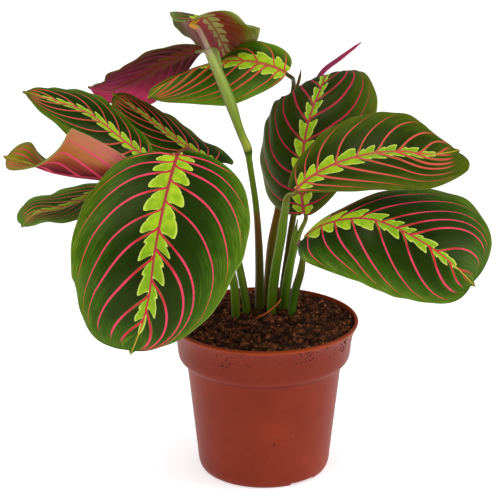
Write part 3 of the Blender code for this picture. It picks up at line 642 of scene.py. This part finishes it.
# How far the feather reaches from one vein (0) to the next (1), near the base and near the tip.
TEETH = {
    "base": ((0, 0.24), (0.06, 0.42), (0.13, 0.60), (0.22, 0.72), (0.27, 0.71), (0.36, 0.86),
             (0.50, 0.96), (0.62, 1.0), (0.74, 0.97), (0.81, 0.84), (0.85, 0.5), (0.91, 0.28),
             (1, 0.24)),
    "tip": ((0, 0.12), (0.07, 0.46), (0.15, 0.68), (0.22, 0.72), (0.27, 0.58), (0.33, 0.62),
            (0.44, 0.84), (0.58, 0.97), (0.70, 1.0), (0.75, 0.84), (0.79, 0.4), (0.86, 0.15),
            (1, 0.12)),
}
TEETH_REACH = 11.5      # mm from the midrib that 1 stands for in the curves above
TEETH_TURN = 0.42       # share of the midrib where one curve gives way to the other
FEATHER_END = 0.89      # share of the midrib where the feather ends, where a leaf gives no other


class BladeLook(Look):
    """The skin of one side of a blade, drawn along that blade's own veins."""

    def __init__(self, name, leaf, beneath):
        super().__init__(name, Specular_IOR_Level=0.05 if beneath else 0.15, Specular_Tint=GLOSS)
        self.leaf, self.beneath = leaf, beneath
        self.x, self.share, self.rim = self.attribute("blade_place")
        self.phase, pace, self.start = self.attribute("blade_vein")
        self.out = self.calc("ABSOLUTE", self.x)
        self.turn = self.calc("FRACT", self.phase)
        half_turn = self.calc("MINIMUM", self.turn, self.less(1.0, self.turn))
        self.near = self.calc("DIVIDE", half_turn, pace)
        self.patchy = self.noise(160, 3)
        self.fine = self.noise(900, 2)
        self.wobble = self.line(self.noise(420, 2), 1.6, -0.8)
        self.streaks = self.lines(self.phase, 36.0, self.share, 7.0)
        self.teeth = leaf.get("teeth", 1.0)
        self.soft = leaf.get("under_soft", 0.85) if beneath else 1.0

    def ground(self, ground):
        """Darkest beside the feather, with pale streaks along the veins."""
        along_veins = self.lines(self.phase, 12.0, self.share, 5.0, detail=3)
        shift = self.line(along_veins, 0.42, self.line(self.patchy, 0.24, -0.33))
        zone = self.plus(self.calc("MAXIMUM", self.rim, self.line(self.share, 2.4, -1.5)), shift)
        amount = self.times(self.step(self.streaks, 0.53, 0.66), self.step(zone, 0.5, 1.1))
        if self.beneath and "under" in self.leaf:
            near_base, near_tip = self.leaf["under"]
            place = self.line(self.times(self.calc("SIGN", self.x), self.rim), 0.5,
                              self.line(along_veins, 0.16, 0.42))
            colour = self.mix(self.step(self.line(self.patchy, 0.3, self.share), 0.35, 0.95),
                              self.ramp(place, *near_base), self.ramp(place, *near_tip))
            amount = self.times(amount, 0.3)
        else:
            colour = self.ramp(zone, *zip((0.0, 0.45, 0.74, 1.0), ground))
        colour = self.mix(self.times(amount, 0.6), colour, ground[4])
        return self.over(colour, self.mix(0.35, colour, (0, 0, 0)), 0.3, self.fine, 0.3, 0.8)

    def feather(self, colour, middle, edge, patches):
        """One tooth between each two veins, pale at its edge."""
        swap = self.step(self.share, TEETH_TURN, TEETH_TURN + 0.06)
        reach = self.node("Mix", {"Factor": swap, 2: self.curve(self.turn, *TEETH["base"]),
                                  3: self.curve(self.turn, *TEETH["tip"])})
        size = self.teeth * TEETH_REACH
        scaled = self.times(self.share, FEATHER_END / self.leaf.get("teeth_end", FEATHER_END))
        swell = self.curve(scaled, (0, 0.92), (0.03, 1.0), (0.10, 1.03), (0.36, 1.0), (0.5, 0.84),
                           (0.65, 0.66), (0.8, 0.52), (0.85, 0.3), (FEATHER_END, 0.0), (1, 0))
        reach = self.calc("MAXIMUM", reach, self.leaf.get("teeth_floor", 0.0))
        reach = self.line(self.times(reach, swell), size, self.times(self.wobble, 0.5))
        inside = self.less(reach, self.out)
        tooth = self.step(inside, -0.12, 0.28)
        if self.beneath:
            tooth = self.times(tooth, self.leaf.get("under_teeth", 1.0))
        rim_mm = 1.5 * self.teeth ** 0.5
        lime = self.mix(self.step(inside, rim_mm, 0.1), middle, edge)
        inner = self.times(self.step(self.patchy, 0.36, 0.64),
                           self.step(inside, 0.5 * rim_mm, 1.6 * rim_mm))
        lime = self.mix(self.times(inner, 0.85), lime, self.mix(0.6, lime, patches))
        faded = self.mix(self.step(inside, 0.1, rim_mm), lime, patches)
        lime = self.over(lime, faded, 0.5, self.share, 0.25, 0.6)
        edging = self.times(self.step(self.near, 1.05, 0.7),
                            self.step(self.out, 0.95 * size, 0.5 * size))
        edging = self.times(edging, self.step(self.share, 0.94, 0.84))
        colour = self.mix(self.times(edging, 0.7 * self.soft), colour, patches)
        return self.mix(self.times(tooth, self.soft), colour, lime)

    def veins(self, colour, red):
        """Veins that thin out along their way to the margin, each a little wider or slimmer."""
        fate = self.node("TexWhiteNoise", {"W": self.calc("ROUND", self.phase)},
                         noise_dimensions="1D")
        width = self.leaf.get("vein", 0.62)
        run = self.less(self.share, self.start)
        slim = self.times(self.step(run, 0.7, 0.1), self.line(fate, 0.35, 0.8))
        taper = self.curve(self.rim, (0, 1.0), (0.3, 1.0), (0.6, 0.84), (0.8, 0.6), (0.92, 0.25),
                           (1, 0.1))
        slim = self.line(self.times(slim, taper), width * 0.8, self.times(taper, width * 0.25))
        off = self.plus(self.less(self.near, slim), self.times(self.wobble, 0.10))
        ends = self.times(self.step(self.rim, 0.975, 0.87), self.step(self.share, 0.965, 0.91))
        vein = self.times(self.step(off, 0.14, -0.12), ends)
        line = self.ramp(self.rim, (0.0, red[0]), (0.18, red[0]), (0.34, red[1]), (0.68, red[1]),
                         (0.92, red[2]))
        line = self.over(line, red[3], 0.25, self.fine, 0.3, 0.8)
        return self.mix(self.times(vein, self.soft if self.soft > 0.8 else 0.6), colour, line)

    def midrib(self, colour, red, lime):
        width = self.times(self.line(self.share, -0.68, 0.95), 0.5 + self.leaf.get("vein", 0.62))
        off = self.less(self.out, width)
        rib = self.ramp(self.share, (0.0, red[3]), (0.55, red[3]), (0.80, red[0]), (0.90, lime))
        rib = self.mix(self.step(off, -0.45, -0.12), rib, self.mix(0.6, rib, red[0]))
        return self.mix(self.step(off, 0.15, -0.1), colour, rib)


def leaf_look(name, leaf, ground, feather, red, beneath=False):
    """Veined leaf skin, with the colours that the comment over SKINS explains."""
    look = BladeLook(name, leaf, beneath)
    colour = look.feather(look.ground(ground), *feather)
    colour = look.midrib(look.veins(colour, red), red, feather[0])
    colour = look.over(colour, MARGIN_GREEN, 0.6, look.rim, 0.982, 0.996)
    rough = look.line(look.patchy, 0.2, 0.45 if beneath else 0.30)
    height = look.plus(look.times(look.cells(1500), 0.25), look.times(look.streaks, 0.5))
    return look.finish(colour, rough, height, strength=0.25, distance=0.0003)


# -------- stems
def soft_radius(points, share):
    """Radius along a tube, eased between its named places."""
    at = np.concatenate([[0], np.cumsum(np.linalg.norm(np.diff(points[:, :3], axis=0), axis=1))])
    at /= at[-1]
    i = np.clip(np.searchsorted(at, share, side="right") - 1, 0, len(at) - 2)
    t = (share - at[i]) / (at[i + 1] - at[i])
    t = t * t * (3 - 2 * t)
    return points[i, 3] * (1 - t) + points[i + 1, 3] * t


def tube_grid(points, sides=20, step=1.6, ribs=0.03, seed=0):
    """Vertices, faces and (share, turn, height) of a closed ribbed tube through (x, y, z, r)."""
    points = np.asarray(points, float)
    length = smooth_path(points[:, :3], [0.0])[1]
    rings = max(8, round(length / step))
    share = np.linspace(0, 1, rings)
    centre = smooth_path(points[:, :3], share)[0]
    radius = soft_radius(points, share)
    ahead = unit(np.gradient(centre, axis=0))
    across = np.empty_like(ahead)
    first = np.cross(ahead[0], (0.0, 1.0, 0.0))
    across[0] = unit(first if np.linalg.norm(first) > 0.01 else np.array([1.0, 0, 0]))
    for index in range(1, rings):
        carried = across[index - 1] - ahead[index] * (across[index - 1] @ ahead[index])
        across[index] = unit(carried)
    over = np.cross(ahead, across)
    turn = np.arange(sides) / sides
    angle = math.tau * turn
    rng = np.random.default_rng(seed)
    rib = ribs * sum(rng.uniform(0.4, 1) * np.cos(n * angle + rng.uniform(0, 6.3))
                     for n in (3, 5, 8))
    ring = radius[:, None] * (1 + rib)[None]
    ring = ring * (1 + 0.02 * np.sin(np.linspace(0, length / 7, rings) + seed))[:, None]
    place = (centre[:, None] + across[:, None] * (np.cos(angle) * ring)[..., None]
             + over[:, None] * (np.sin(angle) * ring)[..., None])
    vertices = np.concatenate([place.reshape(-1, 3), centre[:1], centre[-1:]])
    r, s = np.meshgrid(np.arange(rings - 1), np.arange(sides), indexing="ij")
    a = (r * sides + s).ravel()
    b = (r * sides + (s + 1) % sides).ravel()
    faces = np.stack([a, b, b + sides, a + sides], axis=1).tolist()
    foot, tip = rings * sides, rings * sides + 1
    faces += [[(s + 1) % sides, s, foot] for s in range(sides)]
    low = (rings - 1) * sides
    faces += [[low + s, low + (s + 1) % sides, tip] for s in range(sides)]
    where = np.stack([np.repeat(share, sides), np.tile(turn, rings),
                      np.repeat(centre[:, 2], sides)], axis=-1)
    where = np.concatenate([where, [[0, 0, centre[0, 2]], [1, 0, centre[-1, 2]]]])
    return vertices, faces, where


def join_grids(name, grids):
    vertices, faces, where, start = [], [], [], 0
    for index, (points, quads, places) in enumerate(grids):
        vertices.append(points)
        faces += [[corner + start for corner in face] for face in quads]
        where.append(places)
        start += len(points)
    made = make_mesh(name, np.concatenate(vertices), faces)
    store(made.data, "stem_place", "POINT", np.concatenate(where))
    return made


SOCKET_FLOOR = 82.0
SOIL_LEVEL = 100.0


def leaf_foot(name):
    """Where a blade's midrib starts, its way on and its upper side there, and its lobes' reach."""
    start = smooth_path(LEAVES[name]["midrib"], [0.0, 0.02])[0]
    ahead = unit(start[1] - start[0])
    face = np.array(LEAVES[name]["face"][0], float)
    up = unit(face - (face @ ahead) * ahead)
    return start[0], ahead, up, max(LEAVES[name].get("lobe", (LOBE, LOBE)))


def build_stem(name, stem, look):
    """A stem with its side tubes; a petiole ends against the underside of the blade it carries."""
    x, y, radius = stem["root"]
    foot = [(x, y, SOCKET_FLOOR, radius), (x, y, SOIL_LEVEL - 2, radius),
            (x, y, SOIL_LEVEL + 2, radius)]
    grids = []
    for index, (leaf, points) in enumerate(stem["tubes"]):
        route = (foot if index == 0 else []) + list(points)
        if leaf:
            base, ahead, up, lobe = leaf_foot(leaf)
            back = -min(lobe + 2.0, 3.5)
            route += [(*(base + way * ahead - down * up), radius)
                      for way, down, radius in ((back, 3.0, 1.35), (0.5, 1.8, 1.2), (5, 1.3, 0.8))]
        grids.append(tube_grid(route, seed=len(name) + 7 * index))
    made = join_grids(name + "_fine", grids)
    made.data.materials.append(look)
    return made


STEM_LOW, STEM_HIGH = 95.0, 295.0      # mm; heights at the two ends of a stem's colour ramp


def stem_look(name, stops, left, right):
    """Stem skin coloured by height, with a stripe down its left side and another down its right: on
    green stems a painted highlight and painted shade.
    """
    look = Look(name, Specular_IOR_Level=0.14, Specular_Tint=GLOSS)
    share, turn, height = look.attribute("stem_place")
    patchy = look.noise(140, 3)
    lines = look.lines(turn, 14.0, share, 5.0)
    at = look.plus(height, look.line(patchy, 5.0, -2.5))
    at = look.node("MapRange", {"Value": at, "From Min": STEM_LOW, "From Max": STEM_HIGH})
    span = STEM_HIGH - STEM_LOW
    colour = look.ramp(at, *[((mm - STEM_LOW) / span, shade) for mm, shade in stops])
    wander = look.line(lines, 0.1, look.plus(turn, -0.05))
    from_left = look.calc("MINIMUM", wander, look.less(1.0, wander))
    # The left stripe: a painted highlight on the green stems, the stem's own colour on the red and
    # pink-grey ones.
    colour = look.over(colour, left, 0.6, from_left, 0.16, 0.06)
    # The right side: painted shade on the green stems, the stem's own colour on the brown ones.
    colour = look.over(colour, right, 0.6, from_left, 0.33, 0.45)
    colour = look.over(colour, look.mix(0.4, colour, (20, 28, 4)), 0.3, lines, 0.45, 0.7)
    rough = look.line(patchy, 0.2, 0.32)
    return look.finish(colour, rough, lines, strength=0.35, distance=0.0003)


# -------- soil
SOIL_RINGS, SOIL_STEPS = 84, 260
SOIL_EDGE = 98.0
SOIL_MOUND = 3.0
MOUND_CENTRE = (2.0, 10.0)
MOUND_SPREAD = 30.0
CLOD_SIZE = 9.0
CLOD_HEIGHT = 1.3
CRUMB_RELIEF = 2.6
CRUMB_COUNT = 2600
CRUMB_REACH = 56.0      # crumbs lie this far out from the pot's middle
CRUMB_SIZES = [0.5, 0.8, 1.2, 1.9]
CRUMB_SHARES = [0.4, 0.33, 0.2, 0.07]
SOIL_SIDE = [(56.9, 98.6), (55.4, 91.0), (54.0, 82.0), (52.0, 77.5), (48.5, 71.5), (46.9, 64.6),
             (41.4, 12.0), (38.8, 3.7)]


def soil_height(x, y):
    """Height in mm of the soil at (x, y) in mm: a low mound with clods."""
    away = math.hypot(x - MOUND_CENTRE[0], y - MOUND_CENTRE[1]) / MOUND_SPREAD
    clods = noise.noise(Vector((x, y, 0)) / CLOD_SIZE) * CLOD_HEIGHT
    return SOIL_EDGE + SOIL_MOUND * math.exp(-away * away) + clods


def crumb_height(x, y):
    """Height in mm of the soil with its fine relief."""
    rough = (0.55 * noise.noise(Vector((x, y, 5)) / 3.1)
             + 0.38 * noise.noise(Vector((x, y, 9)) / 1.5)
             + 0.2 * noise.noise(Vector((x, y, 2)) / 0.8))
    return soil_height(x, y) + rough * CRUMB_RELIEF


def build_soil():
    rings, steps = SOIL_RINGS, SOIL_STEPS
    radii = SOIL_SIDE[0][0] * (np.arange(1, rings + 1) / rings) ** 0.9
    angle = math.tau * np.arange(steps) / steps
    points = [(0, 0, crumb_height(0, 0))]
    for radius in radii:
        for turn in angle:
            x, y = polar(radius, turn)
            points.append((x, y, crumb_height(x, y)))
    for radius, height in SOIL_SIDE[1:]:
        points += [(*polar(radius, turn), height) for turn in angle]
    points.append((0, 0, SOIL_SIDE[-1][1]))
    total = rings + len(SOIL_SIDE) - 1
    faces = [[0, 1 + s, 1 + (s + 1) % steps] for s in range(steps)]
    for ring in range(total - 1):
        faces += ring_band(1 + ring * steps, 1 + (ring + 1) * steps, steps)
    low, last = 1 + (total - 1) * steps, len(points) - 1
    faces += [[low + (s + 1) % steps, low + s, last] for s in range(steps)]
    return make_mesh("soil_fine", points, faces)


def chunk(rng, centre, size):
    """The twelve corners of one crumb, a small rough lump of twenty faces."""
    t = (1 + 5 ** 0.5) / 2
    base = np.array([(-1, t, 0), (1, t, 0), (-1, -t, 0), (1, -t, 0), (0, -1, t), (0, 1, t),
                     (0, -1, -t), (0, 1, -t), (t, 0, -1), (t, 0, 1), (-t, 0, -1),
                     (-t, 0, 1)]) / 1.9
    turn, _ = np.linalg.qr(rng.normal(size=(3, 3)))
    shape = base * rng.uniform(0.6, 1.25, (12, 1)) * rng.uniform(0.45, 1.2, 3)
    return shape @ turn * size + centre


CHUNK_FACES = [(0, 11, 5), (0, 5, 1), (0, 1, 7), (0, 7, 10), (0, 10, 11), (1, 5, 9), (5, 11, 4),
               (11, 10, 2), (10, 7, 6), (7, 1, 8), (3, 9, 4), (3, 4, 2), (3, 2, 6), (3, 6, 8),
               (3, 8, 9), (4, 9, 5), (2, 4, 11), (6, 2, 10), (8, 6, 7), (9, 8, 1)]


# Crumbs stuck to the pot's rim band and side: turn in degrees, height and size in mm.
STUCK = ((-29, 93.9, 0.8), (-39, 92.3, 0.7), (-44, 88.8, 0.9), (-64, 92.5, 0.7), (-56, 85.1, 0.6),
         (-82, 31.9, 0.8), (-101, 90.0, 0.6), (-118, 94.5, 0.8))

# Where more stick to the band: turn and spread in degrees, and how many.
SMEARS = ((-34, 5, 22), (-68, 6, 20), (-116, 5, 16), (-90, 30, 14), (60, 60, 30))
SMEAR_HEIGHTS = (87, 97.5)
SMEAR_SIZES = (0.3, 0.75)


def build_crumbs():
    """Loose crumbs on the soil, and those stuck to the pot."""
    rng = np.random.default_rng(11)
    points, faces = [], []

    def add(place, size):
        start = len(points)
        points.extend(chunk(rng, np.array(place), size).tolist())
        faces.extend([corner + start for corner in face] for face in CHUNK_FACES)

    for _ in range(CRUMB_COUNT):
        radius, turn = CRUMB_REACH * rng.uniform() ** 0.5, rng.uniform(0, math.tau)
        size = rng.choice(CRUMB_SIZES, p=CRUMB_SHARES) * rng.uniform(0.8, 1.2)
        x, y = polar(radius, turn)
        add((x, y, crumb_height(x, y) + 0.25 * size), size)
    stuck = list(STUCK)
    for middle, spread, number in SMEARS:
        stuck += [(middle + spread * rng.normal(), rng.uniform(*SMEAR_HEIGHTS),
                   rng.uniform(*SMEAR_SIZES)) for _ in range(number)]
    for degrees, height, size in stuck:
        radius = np.interp(-height, [-h for _, h in POT_OUTSIDE], [r for r, _ in POT_OUTSIDE])
        add((*polar(radius, math.radians(degrees)), height), size)
    return make_mesh("soil_crumbs", points, faces, smooth=False)


# A dead root that leans on a stem and lies down on the soil: x, y, z in mm; the last lie on it.
ROOT_LEAN = [(10.8, 5.0, 111.0), (8.8, 4.0, 108.6), (6.0, 3.5, 106.0), (2.4, 2.0, 103.3)]
ROOT_LAID = [(-2.0, 0.6, 0.8), (-4.6, -0.9, 0.7), (-7.6, -3.4, -0.6)]


def build_thread():
    """The dead root, as one thin tube."""
    laid = [(x, y, crumb_height(x, y) + above) for x, y, above in ROOT_LAID]
    route = [(*place, 0.6) for place in ROOT_LEAN + laid]
    return join_grids("soil_root_thread", [tube_grid(route, sides=8, step=0.8, ribs=0.1, seed=5)])


def soil_look():
    look = Look("Peat and bark", Specular_IOR_Level=0.15)
    clods = look.noise(170, 6, rough=0.68)
    grains = look.cells(700)
    colour = look.ramp(clods, (0.34, (18, 9, 4)), (0.46, (52, 28, 14)), (0.56, (88, 50, 26)),
                       (0.68, (150, 94, 56)))
    colour = look.over(colour, (26, 14, 8), 0.6, grains, 0.55, 0.1)
    colour = look.over(colour, (170, 104, 60), 0.8, look.noise(300, 3), 0.56, 0.68)
    rough = look.line(clods, 0.2, 0.78)
    return look.finish(colour, rough, clods, strength=0.7, distance=0.0012)


# -------- pot
POT_STEPS = 180
BAND_FOOT = 0.0731      # m; the rim band ends here in a crease
LIP_FOOT = 0.0976       # m; the lip turns a lighter orange from here up
GRIME = (0.086, 0.099)  # m; dirt comes in between these
FOOT_TOP = 2.0          # the foot ring's notches are cut up to here
NOTCH_ANGLES = (-52, 68, 188)
NOTCH_HALF_ANGLE = 12.3
POT_OUTSIDE = [(59.1, 100), (59.7, 99.7), (60, 99), (59.7, 98.1), (59.2, 97.2), (58.0, 95),
               (56.7, 91), (55.8, 86), (55.2, 80), (54.9, 77.8), (54.5, 76.4), (53.8, 75.2),
               (52.8, 74.2), (51.6, 73.5), (50.4, 73.1), (49.9, 72.3), (49.4, 70.2), (48.6, 64),
               (46.0, 40), (43, 12), (42.5, 6.5), (42.1, 4), (41.4, 2), (40.6, 0.7), (39.6, 0)]
POT_FLOOR = [(36.4, 0), (36.1, 2), (21.2, 2), (20, 0), (0.01, 0)]
POT_INSIDE = [(0.01, 1.3), (19.4, 1.3), (20.6, 3.3), (39.8, 3.3), (41.7, 12), (47.3, 64.6),
              (48.9, 70.8), (52.4, 76.5), (53.7, 82), (55.5, 91), (56.9, 95), (57.9, 99),
              (58.0, 100)]
POT_PIECE = 2.5         # the outside is cut into rings about this long
FOOT_INSIDE = 36.2      # the foot ring's notches are cut where the radius is over this
HOLE_RADIUS = 3.0
HOLE_SIDES = 24
HOLE_CIRCLE = 29.5
HOLE_TURNS = [13.1 + 60 * index for index in range(6)]


def build_pot():
    """The pot turned round its axis, with the foot ring's notches and the drain holes."""
    outline = []
    for (r, h), (next_r, next_h) in zip(POT_OUTSIDE, POT_OUTSIDE[1:]):
        pieces = max(1, round(math.hypot(next_r - r, next_h - h) / POT_PIECE))
        outline += [(r + (next_r - r) * k / pieces, h + (next_h - h) * k / pieces)
                    for k in range(pieces)]
    outline = np.array(outline + [POT_OUTSIDE[-1]] + POT_FLOOR + POT_INSIDE)
    turn = math.tau * np.arange(POT_STEPS) / POT_STEPS
    radius, height = outline[:, 0][:, None], np.repeat(outline[:, 1][:, None], POT_STEPS, axis=1)
    for degrees in NOTCH_ANGLES:
        away = np.abs((np.degrees(turn) - degrees + 180) % 360 - 180)
        low = (away < NOTCH_HALF_ANGLE) & (radius > FOOT_INSIDE) & (height < FOOT_TOP)
        height = np.where(low, FOOT_TOP, height)
    points = np.stack([radius * np.cos(turn), radius * np.sin(turn), height], axis=-1)
    rings = len(outline)
    faces = []
    for ring in range(rings):
        faces += ring_band(ring * POT_STEPS, (ring + 1) % rings * POT_STEPS, POT_STEPS)
    pot = make_mesh("pot_fine", points.reshape(-1, 3), faces)
    cut_holes(pot)
    pot.data.set_sharp_from_angle(angle=math.radians(38))
    return pot


def cut_holes(pot):
    """Cut the drain holes through the pot's floor."""
    circle = [polar(HOLE_RADIUS, math.tau * k / HOLE_SIDES) for k in range(HOLE_SIDES)]
    points, faces = [], []
    for degrees in HOLE_TURNS:
        x, y = polar(HOLE_CIRCLE, math.radians(degrees))
        low = len(points)
        high = low + HOLE_SIDES
        points += [(x + u, y + v, z) for z in (-2.0, 8.0) for u, v in circle]
        for k in range(HOLE_SIDES):
            after = (k + 1) % HOLE_SIDES
            faces.append([low + k, low + after, high + after, high + k])
        faces += [[low + k for k in reversed(range(HOLE_SIDES))],
                  [high + k for k in range(HOLE_SIDES)]]
    cutter = make_mesh("hole_cutter", points, faces)
    holes = pot.modifiers.new("holes", "BOOLEAN")
    holes.object, holes.operation, holes.solver = cutter, "DIFFERENCE", "EXACT"
    ready = pot.evaluated_get(bpy.context.evaluated_depsgraph_get())
    cut = bpy.data.meshes.new_from_object(ready)
    pot.modifiers.clear()
    pot.data, whole = cut, pot.data
    bpy.data.meshes.remove(whole)
    bpy.data.objects.remove(cutter)


def pot_look():
    look = Look("Terracotta-coloured plastic", IOR=1.22, Specular_Tint=(1.0, 0.84, 0.72, 1))
    position = look.node("SeparateXYZ", {0: look.place()})
    height = position.node.outputs[2]
    cloud = look.noise(38, 4)
    fine = look.noise(1400, 3)
    colour = look.ramp(cloud, (0.25, (124, 40, 22)), (0.5, (133, 45, 25)), (0.75, (143, 51, 28)))
    colour = look.over(colour, (84, 28, 18), 0.2, fine, 0.3, 0.9)
    colour = look.over(colour, (112, 38, 30), 0.35, height, BAND_FOOT - 0.0006,
                       BAND_FOOT + 0.0004)
    # Painted shade: a dark line on the rim band's underside, along the crease where it meets the
    # body.
    crease_shade = look.times(look.step(height, BAND_FOOT - 0.0022, BAND_FOOT - 0.0002),
                        look.step(height, BAND_FOOT + 0.0012, BAND_FOOT))
    colour = look.mix(look.times(crease_shade, 0.55), colour, (78, 26, 20))
    colour = look.over(colour, (186, 110, 84), 0.12, look.noise(300, 4), 0.62, 0.8)
    colour = look.over(colour, (152, 62, 24), 0.85, height, LIP_FOOT, LIP_FOOT + 0.0008)
    grime = look.times(look.step(look.noise(520, 4), 0.60, 0.68), look.step(height, *GRIME))
    grime = look.times(grime, look.step(look.noise(60, 2), 0.45, 0.6))
    colour = look.mix(look.times(grime, 0.75), colour, (58, 34, 18))
    rough = look.line(cloud, 0.16, 0.34)
    return look.finish(colour, rough, fine, strength=0.12, distance=0.0002)


# -------- the plant
ROSE_LEAVES = ("leaf_top", "leaf_back_left", "leaf_left_curled")
BROWN_STEMS = ("stem_middle", "stem_tall")

for name, leaf in LEAVES.items():
    looks = (leaf_look(name + "_above", leaf, leaf.get("ground", GREEN), LIME,
                       leaf.get("red", CRIMSON)),
             leaf_look(name + "_beneath", leaf, WINE, leaf.get("dull", DULL),
                       leaf.get("pink", PINK), beneath=True))
    blade = build_blade(name, leaf, looks)
    stand_for(blade, name, slot="leaf_rose" if name in ROSE_LEAVES else "leaf_green")

for name, stem in STEMS.items():
    look = stem_look(name + "_skin", *STEM_SKINS[name])
    stand_for(build_stem(name, stem, look), name,
              slot="stem_brown" if name in BROWN_STEMS else "stem_green")

spear = join_grids("leaf_rolled_fine", [tube_grid(SPEAR, sides=24, step=0.8, ribs=0.05, seed=3)])
spear.data.materials.append(stem_look(
    "rolled_skin", ((236, (120, 70, 60)), (242, (150, 44, 84)), (262, (160, 44, 78))),
    (110, 36, 66), (176, 70, 104)))
stand_for(spear, "leaf_rolled", slot="leaf_rose")

peat = soil_look()
soil = build_soil()
soil.data.materials.append(peat)
stand_for(soil, "soil", slot="soil")
crumbs = build_crumbs()
crumbs.data.materials.append(peat)
thread = build_thread()
thread.data.materials.append(stem_look("Dry root", ((100, (190, 96, 34)), (106, (196, 110, 40))),
                                       (206, 128, 60), (120, 56, 18)))
for piece in (crumbs, thread):
    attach(piece, "root")

pot = build_pot()
pot.data.materials.append(pot_look())
stand_for(pot, "pot", slot="pot")

# -------- studio
AMBIENT = 0.62          # strength of the surround as light
SHEEN = 0.2             # and as it shows in gloss
FLOOR_HALF = 3000
CAMERA_PITCH = 18.5     # degrees below the horizon
AIM_HEIGHT = 0.17       # m; the lamps point at this height over the middle of the pot
floor = make_mesh("floor", [(x * FLOOR_HALF, y * FLOOR_HALF, 0)
                            for x, y in ((-1, -1), (1, -1), (1, 1), (-1, 1))],
                  [(0, 1, 2, 3)], smooth=False)
paper = Look("White paper", roughness=0.9, Base_Color=(0.9, 0.9, 0.92, 1),
             Emission_Color=(1, 1, 1, 1), Emission_Strength=0.5)
floor.data.materials.append(paper.material)

world = bpy.data.worlds.new("Studio")
world.use_nodes = True
sky = world.node_tree.nodes["Background"]
sky.inputs["Color"].default_value = (1, 1, 1, 1)
# The surround is pure white to the eye, lights softly, and shows least of all in gloss.
ray = world.node_tree.nodes.new("ShaderNodeLightPath")


def by_ray(kind, other, this):
    """A world strength for one kind of ray, and another for the rest."""
    picked = world.node_tree.nodes.new("ShaderNodeMapRange")
    world.node_tree.links.new(ray.outputs[kind], picked.inputs["Value"])
    for key, value in (("To Min", other), ("To Max", this)):
        if isinstance(value, float):
            picked.inputs[key].default_value = value
        else:
            world.node_tree.links.new(value, picked.inputs[key])
    return picked.outputs[0]


strength = by_ray("Is Camera Ray", by_ray("Is Glossy Ray", AMBIENT, SHEEN), 1.0)
world.node_tree.links.new(strength, sky.inputs["Strength"])
bpy.context.scene.world = world


def add_light(name, place, size, power):
    """A soft rectangular lamp at a place in m, aimed at the plant's middle."""
    lamp = bpy.data.lights.new(name, "AREA")
    lamp.shape = "RECTANGLE"
    lamp.size, lamp.size_y = size
    lamp.energy = power
    made = put(name, lamp)
    made.location = place
    aim = Vector((0, 0, AIM_HEIGHT)) - made.location
    made.rotation_euler = aim.to_track_quat("-Z", "Y").to_euler()


add_light("key", (-0.6, -0.5, 1.5), (0.9, 0.9), 9)
add_light("side", (1.3, -0.2, 0.7), (0.7, 1.0), 8)

camera_data = bpy.data.cameras.new("Camera")
camera_data.lens = 137.29
camera_data.sensor_width = 36
camera = put("Camera", camera_data)
camera.location = (-0.009, -1.13798, 0.52647)
camera.rotation_euler = (math.radians(90 - CAMERA_PITCH), 0, 0)
bpy.context.scene.camera = camera
bpy.context.scene.view_settings.view_transform = "Standard"
